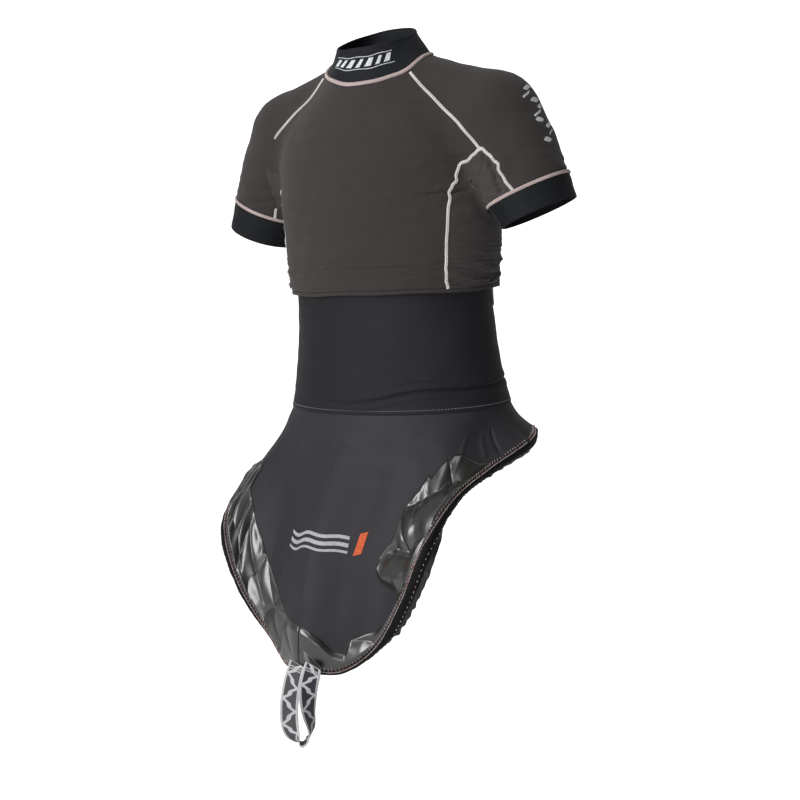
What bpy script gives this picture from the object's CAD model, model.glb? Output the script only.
from functools import cached_property

import bmesh
import bpy
import numpy as np
from mathutils import Matrix, Vector
from numpy import arange, array, cos, exp, interp, linspace, pi, radians, sin, stack


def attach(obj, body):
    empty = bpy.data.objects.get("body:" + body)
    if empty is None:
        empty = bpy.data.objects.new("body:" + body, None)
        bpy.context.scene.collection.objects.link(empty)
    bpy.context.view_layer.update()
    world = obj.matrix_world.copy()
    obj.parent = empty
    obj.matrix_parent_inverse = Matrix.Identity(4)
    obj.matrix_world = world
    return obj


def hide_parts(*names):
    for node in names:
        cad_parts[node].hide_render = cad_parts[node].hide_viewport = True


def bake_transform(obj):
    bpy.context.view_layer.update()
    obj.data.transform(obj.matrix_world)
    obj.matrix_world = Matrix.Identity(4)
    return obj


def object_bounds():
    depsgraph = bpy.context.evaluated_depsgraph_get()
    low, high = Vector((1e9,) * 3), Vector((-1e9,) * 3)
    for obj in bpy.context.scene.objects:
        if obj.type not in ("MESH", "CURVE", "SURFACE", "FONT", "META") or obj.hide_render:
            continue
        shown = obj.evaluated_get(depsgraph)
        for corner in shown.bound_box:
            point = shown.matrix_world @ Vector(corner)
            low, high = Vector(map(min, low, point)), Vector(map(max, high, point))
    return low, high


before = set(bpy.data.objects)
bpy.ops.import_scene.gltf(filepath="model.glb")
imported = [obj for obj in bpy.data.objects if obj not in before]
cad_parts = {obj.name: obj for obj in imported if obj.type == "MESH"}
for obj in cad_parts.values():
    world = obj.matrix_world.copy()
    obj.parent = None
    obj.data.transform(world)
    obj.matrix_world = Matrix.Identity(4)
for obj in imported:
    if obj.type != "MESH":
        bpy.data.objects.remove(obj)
cad_low, cad_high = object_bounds()

LEFT, RIGHT = 1, -1  # the wearer's sides, as the sign of x
UP = array([0, 0, 1.0])
MIRROR = array([-1.0, 1, 1])


# ------------------------------------------------------------------ maths


def unit(vectors):
    return vectors / np.maximum(np.linalg.norm(vectors, axis=-1, keepdims=True), 1e-9)


def ease(x, start, end):
    """smooth step from 0 at start to 1 at end; start may be the larger"""
    share = np.clip((x - start) / (end - start), 0, 1)
    return share * share * (3 - 2 * share)


def bell(x, width):
    return exp(-((x / width) ** 2))


def catmull(before, start, end, after, share):
    """Catmull-Rom blend from start to end"""
    return 0.5 * (
        2 * start
        + (end - before) * share
        + (2 * before - 5 * start + 4 * end - after) * share**2
        + (3 * start - before - 3 * end + after) * share**3
    )


def spline_at(points, x):
    """the spline through the points, at x counted in points"""
    points, x = array(points, float), np.asarray(x, float)
    index = np.clip(np.floor(x), 0, len(points) - 2).astype(int)
    padded = np.vstack([2 * points[0] - points[1], points, 2 * points[-1] - points[-2]])
    return catmull(*(padded[index + i] for i in range(4)), (x - index)[..., None])


def spline(points, count):
    return spline_at(points, linspace(0, len(points) - 1, count + 1))


def flipped(points):
    return [[-x, y, z] for x, y, z in points]


def closed_ring(left_half, right_half, count):
    """closed spline through the left half and the mirrored right half, both front to back"""
    points = array(left_half + flipped(right_half[1:-1])[::-1], float)
    total = len(points)
    x = arange(count) * total / count
    index = np.floor(x).astype(int)
    return catmull(*(points[(index + i) % total] for i in (-1, 0, 1, 2)), (x - index)[:, None])


class Waves:
    """smooth repeatable noise made of sines about `length` long"""

    def __init__(self, seed, length, dims=3, count=14):
        random = np.random.RandomState(seed)
        freq = random.normal(size=(count, dims))
        stretch = 0.6 + 0.9 * random.rand(count, 1)
        self.freq = freq * (2 * pi / length) * stretch / np.linalg.norm(freq, axis=1, keepdims=True)
        self.phase = random.rand(count) * 6.283

    def __call__(self, points):
        total = sin(points @ self.freq.T + self.phase).sum(-1)
        return total / np.sqrt(len(self.phase) / 2) * 0.6


def lookup(x, table, column=1):
    table = array(table, float)
    return interp(x, table[:, 0], table[:, column])


def arc_length(points):
    return np.r_[0, np.cumsum(np.linalg.norm(np.diff(points, axis=0), axis=1))]


def interp_points(x, known, points):
    return stack([interp(x, known, points[:, i]) for i in range(points.shape[1])], -1)


def close(row):
    return np.concatenate([row, row[:1]])


def resample(points, step, closed=False):
    if closed:
        points = close(points)
    arc = arc_length(points)
    count = max(2, int(round(arc[-1] / step)))
    even = interp_points(linspace(0, arc[-1], count + 1), arc, points)
    return even[:-1] if closed else even


def bilinear(grid, row, col, next_col, down, across):
    near = grid[row, col] * (1 - across) + grid[row, next_col] * across
    far = grid[row + 1, col] * (1 - across) + grid[row + 1, next_col] * across
    return near * (1 - down) + far * down


def segment_distance(points, start, end):
    """place along the segment from start to end, the same clipped, and the nearest point"""
    span = end - start
    along = ((points - start) @ span) / (span @ span)
    clipped = np.clip(along, 0, 1)
    return along, clipped, start + clipped[..., None] * span


def facing(normals, reference):
    """each normal turned to the side of its reference"""
    return normals * np.sign((normals * reference).sum(-1, keepdims=True))


def ellipse_normal(angle, half_width, half_depth):
    turn = radians(angle)
    return unit(stack([sin(turn) / half_width, -cos(turn) / half_depth, 0 * turn], -1))


# ------------------------------------------------------------------ the top's smooth surface
HEM = 165.0  # height of the top's lower edge

# height, half width, half depth, y of the middle
TORSO = [
    [100, 156, 118, -1], [158, 157, 118, -1], [172, 158, 118, -1], [192, 161, 118, 0],
    [242, 166, 120, 2], [292, 169, 124, 4], [342, 169, 122, 4], [372, 160, 117, 3],
    [392, 145, 110, 2], [412, 125, 101, 1], [427, 105, 93, 0], [442, 87, 84, -1],
    [457, 73, 74, -3], [472, 62, 64, -6], [492, 54, 56, -9], [532, 50, 52, -12],
    [560, 50, 52, -12],
]
SHOULDER = array([166, 12, 385.0])
ARM_TILT = radians(25)
ARM_DOWN = array([sin(ARM_TILT), 0, -cos(ARM_TILT)])
ARM_OUT = array([cos(ARM_TILT), 0, sin(ARM_TILT)])
# distance down the arm, half width, half depth, outward shift of the middle
ARM = [
    [-40, 62, 62, 0], [0, 66, 64, 0], [50, 67, 65, 2],
    [100, 59, 61, 5], [160, 49, 57, 7], [240, 47, 56, 8],
]
NECK_SIDE = array([50, 4, 438.0])  # inner end of the yoke


def smooth_min(first, second, reach):
    share = np.clip(0.5 + 0.5 * (second - first) / reach, 0, 1)
    return second * (1 - share) + first * share - reach * share * (1 - share)


def torso_distance(points):
    half_width, half_depth, middle = (lookup(points[..., 2], TORSO, i) for i in (1, 2, 3))
    radius = np.hypot(points[..., 0] / half_width, (points[..., 1] - middle) / half_depth)
    return (radius - 1) * np.minimum(half_width, half_depth)


def arm_distance(points):
    offset = points - SHOULDER
    along = offset @ ARM_DOWN
    half_width, half_depth, shift = (lookup(along, ARM, i) for i in (1, 2, 3))
    radius = np.sqrt(
        ((offset @ ARM_OUT - shift) / half_width) ** 2
        + (offset[..., 1] / half_depth) ** 2
        + (np.minimum(along, 0) / half_width) ** 2
    )
    return (radius - 1) * np.minimum(half_width, half_depth)


def yoke_distance(points):
    _, share, nearest = segment_distance(points, NECK_SIDE, SHOULDER)
    return np.linalg.norm(points - nearest, axis=-1) - (46 + 18 * share)


def body_distance(points):
    points = points.copy()
    points[..., 0] = np.abs(points[..., 0])
    trunk = smooth_min(torso_distance(points), yoke_distance(points), 30)
    return smooth_min(trunk, arm_distance(points), 12)


def body_slope(points):
    distance = body_distance(points)
    slope = stack([body_distance(points + step) - distance for step in np.eye(3)], -1)
    return distance, slope


def snap(points, rounds=6):
    """move points onto the body surface"""
    points = array(points, float)
    for _ in range(rounds):
        distance, slope = body_slope(points)
        points = points - slope * (distance / np.maximum(0.3, (slope * slope).sum(-1)))[..., None]
    return points


def body_normal(points):
    return unit(body_slope(points)[1])


# Seam lines as x, y, z, each drawn on the wearer's left. The right half of the garment sits
# twisted a little further round the wearer, so its front seams have their own lines.
RAGLAN_FRONT = {
    LEFT: [[70, -42, 456], [93, -47, 433], [118, -52, 412],
           [151, -57, 383], [170, -57, 361], [186, -55, 342]],
    RIGHT: [[66, -38, 462], [86, -53, 433], [116, -54, 413],
            [148, -55, 387], [168, -46, 366], [182, -14, 344]],
}
RAGLAN_BACK = [
    [62, 34, 489], [90, 50, 455], [118, 64, 422], [150, 74, 388], [170, 77, 364], [186, 74, 342]
]
SIDE_FRONT = {
    LEFT: [[186, -55, 342], [165, -56, 332], [152, -57, 316], [146, -60, 300],
           [141, -65, 285], [136, -66, 241], [131, -66, 200], [129.3, -62.6, 165]],
    RIGHT: [[182, -14, 344], [170, -24, 330], [160, -33, 314], [155, -40, 298],
            [153, -43, 285], [151.5, -46, 241], [147, -50, 200], [141.5, -54, 165]],
}
SIDE_BACK = [
    [186, 74, 342], [165, 75, 332], [153, 70, 316], [147, 68, 300],
    [142, 69, 285], [137, 70, 241], [132, 68, 200], [130.3, 62.8, 165],
]
COLLAR_BACK = [[76, 8, 479], [62, 34, 489], [34, 45, 493], [0, 50, 495]]
COLLAR_BASE = {
    LEFT: [[0, -85, 441], [36, -79, 443], [59, -60, 450], [70, -42, 456], [76, -18, 468]]
    + COLLAR_BACK,
    RIGHT: [[0, -85, 441], [35, -73, 451], [56, -54, 458], [66, -38, 462], [74, -16, 470]]
    + COLLAR_BACK,
}
COLLAR_TOP = [
    [0, -66, 490], [24, -62, 491], [43, -44, 497], [51, -18, 505], [49, 8, 513],
    [38, 30, 519], [20, 42, 523], [0, 46, 524],
]
# under the arm, from the armpit toward the cuff
UNDER_FRONT = {
    LEFT: [[186, -55, 342], [204, -52, 330], [211, -51, 313]],
    RIGHT: [[182, -14, 344], [184, -24, 314], [178, -33, 288]],
}
UNDER_BACK = [[186, 74, 342], [204, 73, 330], [211, 73, 313]]
# angles round the arm where those seams reach the cuff
UNDER_FRONT_ANGLE = {LEFT: 80.0, RIGHT: 134.0}
UNDER_BACK_ANGLE = -80
CUFF_START = {LEFT: 109.0, RIGHT: 115.0}  # distance down the arm
CUFF_LENGTH = {LEFT: 35.0, RIGHT: 43.0}


def to_side(points, side):
    return points if side == LEFT else points * MIRROR


def arm_point(along, angle, side, grow=0.0):
    """point on the arm in the left half's coordinates, skewed as that side's cuff is cut"""
    along, angle = np.broadcast_arrays(np.asarray(along, float), np.asarray(angle, float))
    half_width, half_depth = lookup(along, ARM, 1) + grow, lookup(along, ARM, 2) + grow
    x, y = half_width * cos(radians(angle)), half_depth * sin(radians(angle))
    skewed = along + (0.07 * x + 0.10 * y if side == LEFT else 0)
    return (
        SHOULDER
        + ARM_DOWN * skewed[..., None]
        + ARM_OUT * (lookup(along, ARM, 3) + x)[..., None]
        - array([0, 1.0, 0]) * y[..., None]
    )


def under_front(side):
    return UNDER_FRONT[side] + [arm_point(CUFF_START[side], UNDER_FRONT_ANGLE[side], side)]


def under_back(side):
    return UNDER_BACK + [arm_point(CUFF_START[side], UNDER_BACK_ANGLE, side)]


def torso_ring(z, angle):
    z, turn = np.broadcast_arrays(np.asarray(z, float), radians(np.asarray(angle, float)))
    half_width, half_depth, middle = (lookup(z, TORSO, i) for i in (1, 2, 3))
    return stack([half_width * sin(turn), -half_depth * cos(turn) + middle, z], -1)


def coons(bottom, top, left, right):
    """surface patch filled in between four border curves"""
    across = (arange(len(bottom)) / (len(bottom) - 1))[None, :, None]
    up = (arange(len(left)) / (len(left) - 1))[:, None, None]
    return (
        (1 - up) * bottom[None] + up * top[None]
        + (1 - across) * left[:, None] + across * right[:, None]
        - (1 - across) * (1 - up) * bottom[0] - across * (1 - up) * bottom[-1]
        - (1 - across) * up * top[0] - across * up * top[-1]
    )


def upward(lower, upper, rows):
    """two seam lines that meet, both listed downward, as one border from the bottom up"""
    return snap(spline(lower[::-1] + upper[::-1][1:], rows))


def hem_angle(point):
    return np.degrees(np.arcsin(point[0] / lookup(HEM, TORSO)))


def chest_grid(rows, cols):
    left, right = (upward(SIDE_FRONT[s], RAGLAN_FRONT[s], rows) for s in (LEFT, RIGHT))
    neck = flipped(COLLAR_BASE[RIGHT][1:4])[::-1] + COLLAR_BASE[LEFT][:4]
    start, end = hem_angle(right[0]), hem_angle(left[0])
    bottom = torso_ring(HEM, -start + (end + start) * arange(cols + 1) / cols)
    return snap(coons(bottom, snap(spline(neck, cols)), right * MIRROR, left))


def back_grid(rows, cols):
    left = upward(SIDE_BACK, RAGLAN_BACK, rows)
    half_neck = COLLAR_BASE[LEFT][6:]
    neck = flipped(half_neck[:2]) + half_neck[::-1]
    bottom = torso_ring(HEM, 180 - hem_angle(left[0]) * (2 * arange(cols + 1) / cols - 1))
    return snap(coons(bottom, snap(spline(neck, cols)), left * MIRROR, left))


def sleeve_grid(side, rows, cols):
    front = upward(under_front(side), RAGLAN_FRONT[side], rows)
    back = upward(under_back(side), RAGLAN_BACK, rows)
    start = UNDER_FRONT_ANGLE[side]
    angle = start + (UNDER_BACK_ANGLE - start) * arange(cols + 1) / cols
    bottom = arm_point(CUFF_START[side], angle, side)
    top = snap(spline(COLLAR_BASE[side][3:7], cols))
    grid = coons(bottom, top, front, back)
    grid[1:] = snap(grid[1:])
    return grid


def side_grid(side, rows, cols):
    front = snap(spline(SIDE_FRONT[side][::-1] + under_front(side)[1:], rows))
    back = snap(spline(SIDE_BACK[::-1] + under_back(side)[1:], rows))
    share = arange(cols + 1) / cols
    hem_start = hem_angle(front[0])
    bottom = torso_ring(HEM, hem_start + (180 - 2 * hem_start) * share)
    start = UNDER_FRONT_ANGLE[side]
    angle = start + (360 + UNDER_BACK_ANGLE - start) * share
    grid = coons(bottom, arm_point(CUFF_START[side], angle, side), front, back)
    grid[:-1] = snap(grid[:-1])
    return grid


# ------------------------------------------------------------------ building meshes


def link_object(obj):
    bpy.context.scene.collection.objects.link(obj)
    return obj


def set_all(target, **values):
    for key, value in values.items():
        setattr(target, key, value)


def mesh(name, points, faces, uvs=None, mat=None):
    """object from points in mm, faces (n, 4) and uvs (n, 4, 2) in mm along the cloth;
    a face whose last two corners are the same becomes a triangle"""
    keep = np.ones(faces.shape, bool)
    keep[faces[:, 2] == faces[:, 3], 3] = False
    totals = keep.sum(1)
    corners = faces[keep].astype(np.int32)
    data = bpy.data.meshes.new(name)
    data.vertices.add(len(points))
    data.vertices.foreach_set("co", (points * 0.001).astype(np.float32).ravel())
    data.loops.add(len(corners))
    data.loops.foreach_set("vertex_index", corners)
    data.polygons.add(len(faces))
    starts = np.r_[0, np.cumsum(totals)[:-1]]
    data.polygons.foreach_set("loop_start", starts.astype(np.int32))
    data.polygons.foreach_set("loop_total", totals.astype(np.int32))
    if uvs is not None:
        layer = data.uv_layers.new(name="UVMap")
        layer.data.foreach_set("uv", (uvs[keep] * 0.001).astype(np.float32).ravel())
    data.update(calc_edges=True)
    data.validate()
    data.polygons.foreach_set("use_smooth", np.full(len(data.polygons), True))
    obj = link_object(bpy.data.objects.new(name, data))
    if mat:
        data.materials.append(mat)
    return obj


def edit_faces(obj, operator):
    edit = bmesh.new()
    edit.from_mesh(obj.data)
    operator(edit, faces=edit.faces)
    edit.to_mesh(obj.data)
    edit.free()


def wrapped(grid):
    return np.concatenate([grid, grid[:, :1]], 1)


def index_grid(rows, cols, start=0, wrap=True):
    index = start + arange(rows * cols).reshape(rows, cols)
    return wrapped(index) if wrap else index


def cells(grid, flip=False):
    """the four corners of every cell of a grid, of indices or of UVs"""
    corners = [grid[:-1, :-1], grid[:-1, 1:], grid[1:, 1:], grid[1:, :-1]]
    if flip:
        corners = corners[:1] + corners[:0:-1]
    return stack(corners, 2).reshape(-1, 4, *grid.shape[2:])


def uv_grid(across, along):
    return stack(np.meshgrid(across, along), -1)


def grid_normals(grid, wrap):
    if wrap:
        across = np.roll(grid, -1, 1) - np.roll(grid, 1, 1)
    else:
        across = np.gradient(grid, axis=1)
    return unit(np.cross(across, np.gradient(grid, axis=0)))


def pulled_in(grid, inset, wrap):
    grid = grid.copy()
    grid[0] += unit(grid[1] - grid[0]) * inset
    grid[-1] += unit(grid[-2] - grid[-1]) * inset
    if not wrap:
        grid[:, 0] += unit(grid[:, 1] - grid[:, 0]) * inset
        grid[:, -1] += unit(grid[:, -2] - grid[:, -1]) * inset
    return grid


def perimeter(grid):
    return np.concatenate([grid[0, :-1], grid[:-1, -1], grid[-1, :0:-1], grid[:0:-1, 0]])


def sheet(name, outer, normals, thick, mat, wrap=False):
    """closed cloth panel: the outer grid, an inner grid behind it, and a rounded rim"""
    rows, cols = outer.shape[:2]
    around = wrapped(outer) if wrap else outer
    across = np.linalg.norm(np.diff(around, axis=1), axis=2).mean(0)
    along = np.linalg.norm(np.diff(outer, axis=0), axis=2).mean(1)
    uv = uv_grid(np.r_[0, np.cumsum(across)], np.r_[0, np.cumsum(along)])
    middle = outer - normals * thick * 0.5
    inner = outer - normals * thick
    # both borders draw in a little and the middle ring stands out, so edges look cut
    inset = min(0.35, thick * 0.3)
    outer, inner = (pulled_in(grid, inset, wrap) for grid in (outer, inner))

    front = index_grid(rows, cols, wrap=wrap)
    to_back = rows * cols
    points = [outer.reshape(-1, 3), inner.reshape(-1, 3)]
    faces = [cells(front), cells(front + to_back, flip=True)]
    uvs = [cells(uv), cells(uv, flip=True)]
    if wrap:
        rims = [(front[i], middle[i], uv[i], i == -1) for i in (0, -1)]
    else:
        rims = [(close(perimeter(front)), perimeter(middle), close(perimeter(uv)), False)]
    start = 2 * to_back
    for rim, rim_points, rim_uv, flip in rims:
        ridge = close(start + arange(len(rim_points)))
        start += len(rim_points)
        points.append(rim_points)
        for near, far in ((rim, ridge), (ridge, rim + to_back)):
            pair = [far, near] if flip else [near, far]
            faces.append(cells(stack(pair), flip=True))
            uvs.append(cells(stack([rim_uv, rim_uv]), flip=True))
    obj = mesh(name, np.vstack(points), np.vstack(faces), np.concatenate(uvs), mat)
    # one face of the outer grid tells whether the whole shell has to be turned outward
    row_cells = cols if wrap else cols - 1
    face = obj.data.polygons[rows // 2 * row_cells + cols // 3]
    if array(face.normal) @ normals.reshape(-1, 3)[face.vertices[0]] < 0:
        edit_faces(obj, bmesh.ops.reverse_faces)
    return obj


def threads(name, paths, radius, mat, sides=5):
    """round thread swept along each (points, normals) of paths, narrowed at its ends"""
    points, faces, uvs, start = [], [], [], 0
    turn = (arange(sides) * 2 * pi / sides)[:, None]
    for line, normals in paths:
        count = len(line)
        ahead = unit(np.gradient(line, axis=0))
        across = unit(np.cross(ahead, normals))
        out = np.cross(across, ahead)
        radii = np.full(count, radius, float)
        radii[[0, -1]] *= 0.55
        spokes = out[:, None] * cos(turn) + across[:, None] * sin(turn)
        points.append((line[:, None] + spokes * radii[:, None, None]).reshape(-1, 3))
        index = index_grid(count, sides, start)
        faces.append(cells(index))
        girth = arange(sides + 1) / sides * 6.283 * np.mean(radii)
        uvs.append(cells(uv_grid(girth, arc_length(line))))
        tip = start + count * sides
        start = tip + 2
        points.append(array([
            line[0] - ahead[0] * radii[0] * 0.5,
            line[-1] + ahead[-1] * radii[-1] * 0.5,
        ]))
        for centre, first, second in (
            (tip, index[0, 1:], index[0, :-1]),
            (tip + 1, index[-1, :-1], index[-1, 1:]),
        ):
            centres = np.full(sides, centre)
            faces.append(stack([first, second, centres, centres], -1))
            uvs.append(np.zeros((sides, 4, 2)))
    return mesh(name, np.vstack(points), np.vstack(faces), np.concatenate(uvs), mat)


def dashes(line, normals, pitch, length, closed=False, lift=0.1):
    """paths of short stitches along a line, each dipping into the cloth at its ends"""
    if closed:
        line, normals = close(line), close(normals)
    arc = arc_length(line)
    count = int(arc[-1] / pitch)
    heights = lift * array([-2.2, 1, 1.5, 1, -2.2])
    stitches = []
    for i in range(count):
        x = (i + 0.5) * arc[-1] / count + linspace(-0.5, 0.5, 5) * length
        out = unit(interp_points(x, arc, normals))
        stitches.append((interp_points(x, arc, line) + out * heights[:, None], out))
    return stitches


def film_grid(cols, rows):
    return np.meshgrid(linspace(0, 1, cols), linspace(0, 1, rows))


def film(name, surface, thick, mat):
    """thin printed film lying on a surface given as (points, normals)"""
    points, normals = surface
    return sheet(name, points + normals * thick, normals, thick * 0.8, mat)


def join(name, objs):
    for obj in bpy.context.selected_objects:
        obj.select_set(False)
    bpy.context.view_layer.objects.active = objs[0]
    for obj in objs:
        obj.select_set(True)
    bpy.ops.object.join()
    objs[0].name = name
    objs[0].select_set(False)
    return objs[0]


def register(obj, motion, piece):
    if isinstance(motion, tuple):
        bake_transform(obj)
    else:
        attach(obj, motion)
    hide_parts(piece)


# ------------------------------------------------------------------ materials


class Nodes:
    """short ways to add and link nodes of one tree"""

    def __init__(self, tree):
        self.tree = tree

    def node(self, kind, **settings):
        node = self.tree.nodes.new(kind)
        set_all(node, **settings)
        return node

    def feed(self, socket, value):
        """link a socket, or set a number or an RGB colour"""
        if isinstance(value, bpy.types.NodeSocket):
            self.tree.links.new(value, socket)
        else:
            socket.default_value = (*value, 1) if isinstance(value, tuple) else value


class Material(Nodes):
    def __init__(self, name, color, rough, specular=0.5, metallic=0.0):
        self.mat = bpy.data.materials.new(name)
        self.mat.use_nodes = True
        super().__init__(self.mat.node_tree)
        self.shader = self.tree.nodes["Principled BSDF"]
        self.last_bump = None
        self.shade("Base Color", color)
        self.shade("Roughness", rough)
        self.shade("Metallic", metallic)
        self.shade("Specular IOR Level", specular)

    @cached_property
    def coords(self):
        return self.node("ShaderNodeTexCoord").outputs

    def shade(self, name, value):
        self.feed(self.shader.inputs[name], value)

    def math(self, operation, *values):
        node = self.node("ShaderNodeMath", operation=operation)
        for socket, value in zip(node.inputs, values):
            self.feed(socket, value)
        return node.outputs[0]

    def add(self, first, second):
        return self.math("ADD", first, second)

    def times(self, first, second):
        return self.math("MULTIPLY", first, second)

    def noise(self, scale, detail=3, rough=0.5):
        node = self.node("ShaderNodeTexNoise")
        node.inputs["Scale"].default_value = scale
        node.inputs["Detail"].default_value = detail
        node.inputs["Roughness"].default_value = rough
        self.feed(node.inputs["Vector"], self.coords["Object"])
        return node.outputs[0]

    def wave(self, pitch, axis="X", distort=0.0):
        """bands across the cloth's UVs, closer together for a smaller pitch"""
        node = self.node("ShaderNodeTexWave", wave_type="BANDS", bands_direction=axis)
        node.inputs["Scale"].default_value = 1000.0 / pitch / 3.1416 / 2
        node.inputs["Distortion"].default_value = distort
        node.inputs["Detail"].default_value = 1.0
        self.feed(node.inputs["Vector"], self.coords["UV"])
        return node.outputs["Fac"]

    def mix(self, share, first, second):
        node = self.node("ShaderNodeMix", data_type="RGBA")
        for socket, value in ((0, share), (6, first), (7, second)):
            self.feed(node.inputs[socket], value)
        return node.outputs[2]

    def ramp(self, value, span, out=(0, 1)):
        """map the span of a value onto out"""
        node = self.node("ShaderNodeMapRange")
        for socket, number in zip(node.inputs, (0, *span, *out)):
            socket.default_value = number
        self.feed(node.inputs[0], value)
        return node.outputs[0]

    def bump(self, height, strength, distance):
        """add a bump on top of the earlier ones"""
        node = self.node("ShaderNodeBump")
        node.inputs["Strength"].default_value = strength
        node.inputs["Distance"].default_value = distance
        self.feed(node.inputs["Height"], height)
        if self.last_bump is not None:
            self.feed(node.inputs["Normal"], self.last_bump)
        self.last_bump = node.outputs[0]
        self.shade("Normal", self.last_bump)

    def sheen(self, weight, rough=0.4):
        self.shade("Sheen Weight", weight)
        self.shade("Sheen Roughness", rough)
        self.shade("Sheen Tint", (1, 1, 1))


def srgb(*color):
    """linear colour from 0..255 sRGB"""
    shares = [part / 255 for part in color]
    return tuple(c / 12.92 if c <= 0.04045 else ((c + 0.055) / 1.055) ** 2.4 for c in shares)


def tint(color, factor):
    return tuple(part * factor for part in color)


MIDDLE = (0.3, 0.7)  # the span in which most noise values lie


def knit(name, color, pitch=1.3, rough=0.86, vary=0.10, relief=0.35):
    """stretch knit: fine wales crossed by courses, a slight heather and paler high spots"""
    mat = Material(name, color, rough, specular=0.22)
    wales = mat.wave(pitch, "X", distort=0.6)
    courses = mat.wave(pitch * 0.72, "Y", distort=0.9)
    stitch = mat.times(wales, courses)
    broad = mat.noise(scale=9, detail=4, rough=0.6)
    heather = mat.noise(scale=420, detail=2, rough=0.7)
    blotches = mat.ramp(mat.add(mat.times(broad, 0.55), mat.times(heather, 0.45)), span=MIDDLE)
    shade = mat.mix(blotches, tint(color, 1 - vary), tint(color, 1 + vary))
    mat.shade("Base Color", mat.mix(mat.times(stitch, 0.22), shade, tint(color, 1.5)))
    mat.shade("Roughness", mat.ramp(broad, span=MIDDLE, out=(rough - 0.06, rough + 0.08)))
    mat.bump(stitch, strength=relief, distance=0.0005)
    mat.bump(mat.noise(scale=60, detail=4, rough=0.55), strength=0.10, distance=0.0016)
    mat.sheen(weight=0.16, rough=0.5)
    return mat.mat


def neoprene(name, color, rough=0.62, specular=0.35, pitch=0.9, relief=0.22):
    """jersey on foam rubber: very fine knit on a softly uneven skin"""
    mat = Material(name, color, rough, specular=specular)
    wales = mat.wave(pitch, "X", distort=0.4)
    courses = mat.wave(pitch, "Y", distort=0.4)
    stitch = mat.times(wales, courses)
    cloud = mat.noise(scale=6.5, detail=5, rough=0.62)
    speck = mat.noise(scale=700, detail=2, rough=0.6)
    blotches = mat.add(mat.times(cloud, 0.7), mat.times(speck, 0.3))
    shades = tint(color, 1 - 0.12), tint(color, 1 + 0.12)
    mat.shade("Base Color", mat.mix(mat.ramp(blotches, span=(0.32, 0.68)), *shades))
    mat.shade("Roughness", mat.ramp(cloud, span=MIDDLE, out=(rough - 0.07, rough + 0.07)))
    mat.bump(stitch, strength=relief, distance=0.0004)
    mat.bump(mat.noise(scale=34, detail=5, rough=0.5), strength=0.12, distance=0.002)
    mat.sheen(weight=0.10, rough=0.35)
    return mat.mat


def rubber(name, color, rough, coat, ior=1.5):
    """rubber film: fine pebble, scuffs and a few duller patches"""
    mat = Material(name, color, rough, specular=0.9)
    cloud = mat.noise(scale=14, detail=5, rough=0.6)
    fine = mat.noise(scale=260, detail=3, rough=0.6)
    blotches = mat.ramp(cloud, span=(0.35, 0.65))
    mat.shade("Base Color", mat.mix(blotches, tint(color, 0.55), tint(color, 1.5)))
    scuffs = mat.ramp(
        mat.noise(scale=55, detail=8, rough=0.7), span=(0.45, 0.75), out=(rough, rough + 0.10)
    )
    mat.shade("Roughness", mat.add(scuffs, mat.times(fine, 0.04)))
    mat.shade("IOR", ior)
    mat.shade("Coat Weight", coat)
    mat.shade("Coat Roughness", 0.2)
    mat.bump(mat.noise(scale=150, detail=3, rough=0.55), strength=0.03, distance=0.0003)
    mat.bump(mat.noise(scale=22, detail=1, rough=0.4), strength=0.05, distance=0.0010)
    return mat.mat


def thread(name, color, second=None, threshold=0.5, twist=0.9):
    """twisted sewing thread; a second colour can run through it above the noise threshold"""
    mat = Material(name, color, 0.7, specular=0.3)
    strands = mat.wave(twist, "DIAGONAL", distort=0.3)
    patches = mat.noise(scale=170 if second else 26, detail=2, rough=0.5)
    if second:
        span = (threshold - 0.04, threshold + 0.06)
        shade = mat.mix(mat.ramp(patches, span=span), color, second)
    else:
        shade = mat.mix(mat.ramp(patches, span=MIDDLE), tint(color, 0.86), tint(color, 1.06))
    mat.shade("Base Color", mat.mix(mat.times(strands, 0.3), shade, tint(color, 0.62)))
    mat.bump(strands, strength=0.5, distance=0.0004)
    mat.sheen(weight=0.2)
    return mat.mat


def printed(name, color):
    """pressed film: semi matt, with the cloth showing through and tiny cracks"""
    mat = Material(name, color, 0.5, specular=0.4)
    cracks = mat.node("ShaderNodeTexVoronoi", feature="DISTANCE_TO_EDGE")
    cracks.inputs["Scale"].default_value = 160
    mat.feed(cracks.inputs["Vector"], mat.coords["Object"])
    whole = mat.ramp(cracks.outputs["Distance"], span=(0.0, 0.035), out=(0.6, 1.0))
    grain = mat.noise(scale=300, detail=2, rough=0.6)
    shade = mat.mix(mat.ramp(grain, span=(0.35, 0.7)), tint(color, 0.82), tint(color, 1.04))
    mat.shade("Base Color", mat.mix(whole, tint(color, 0.35), shade))
    mat.shade("Roughness", mat.ramp(grain, span=MIDDLE, out=(0.42, 0.62)))
    mat.bump(mat.wave(1.0, "X", distort=0.3), strength=0.15, distance=0.0003)
    return mat.mat


def crimp_metal():
    mat = Material("crimp_metal", (0.55, 0.55, 0.57), 0.35, metallic=1.0)
    grain = mat.noise(scale=400, detail=4, rough=0.6)
    mat.shade("Roughness", mat.ramp(grain, span=MIDDLE, out=(0.28, 0.5)))
    mat.shade("Base Color", mat.mix(grain, (0.42, 0.42, 0.44), (0.62, 0.62, 0.64)))
    mat.bump(grain, strength=0.1, distance=0.0003)
    return mat.mat


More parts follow.
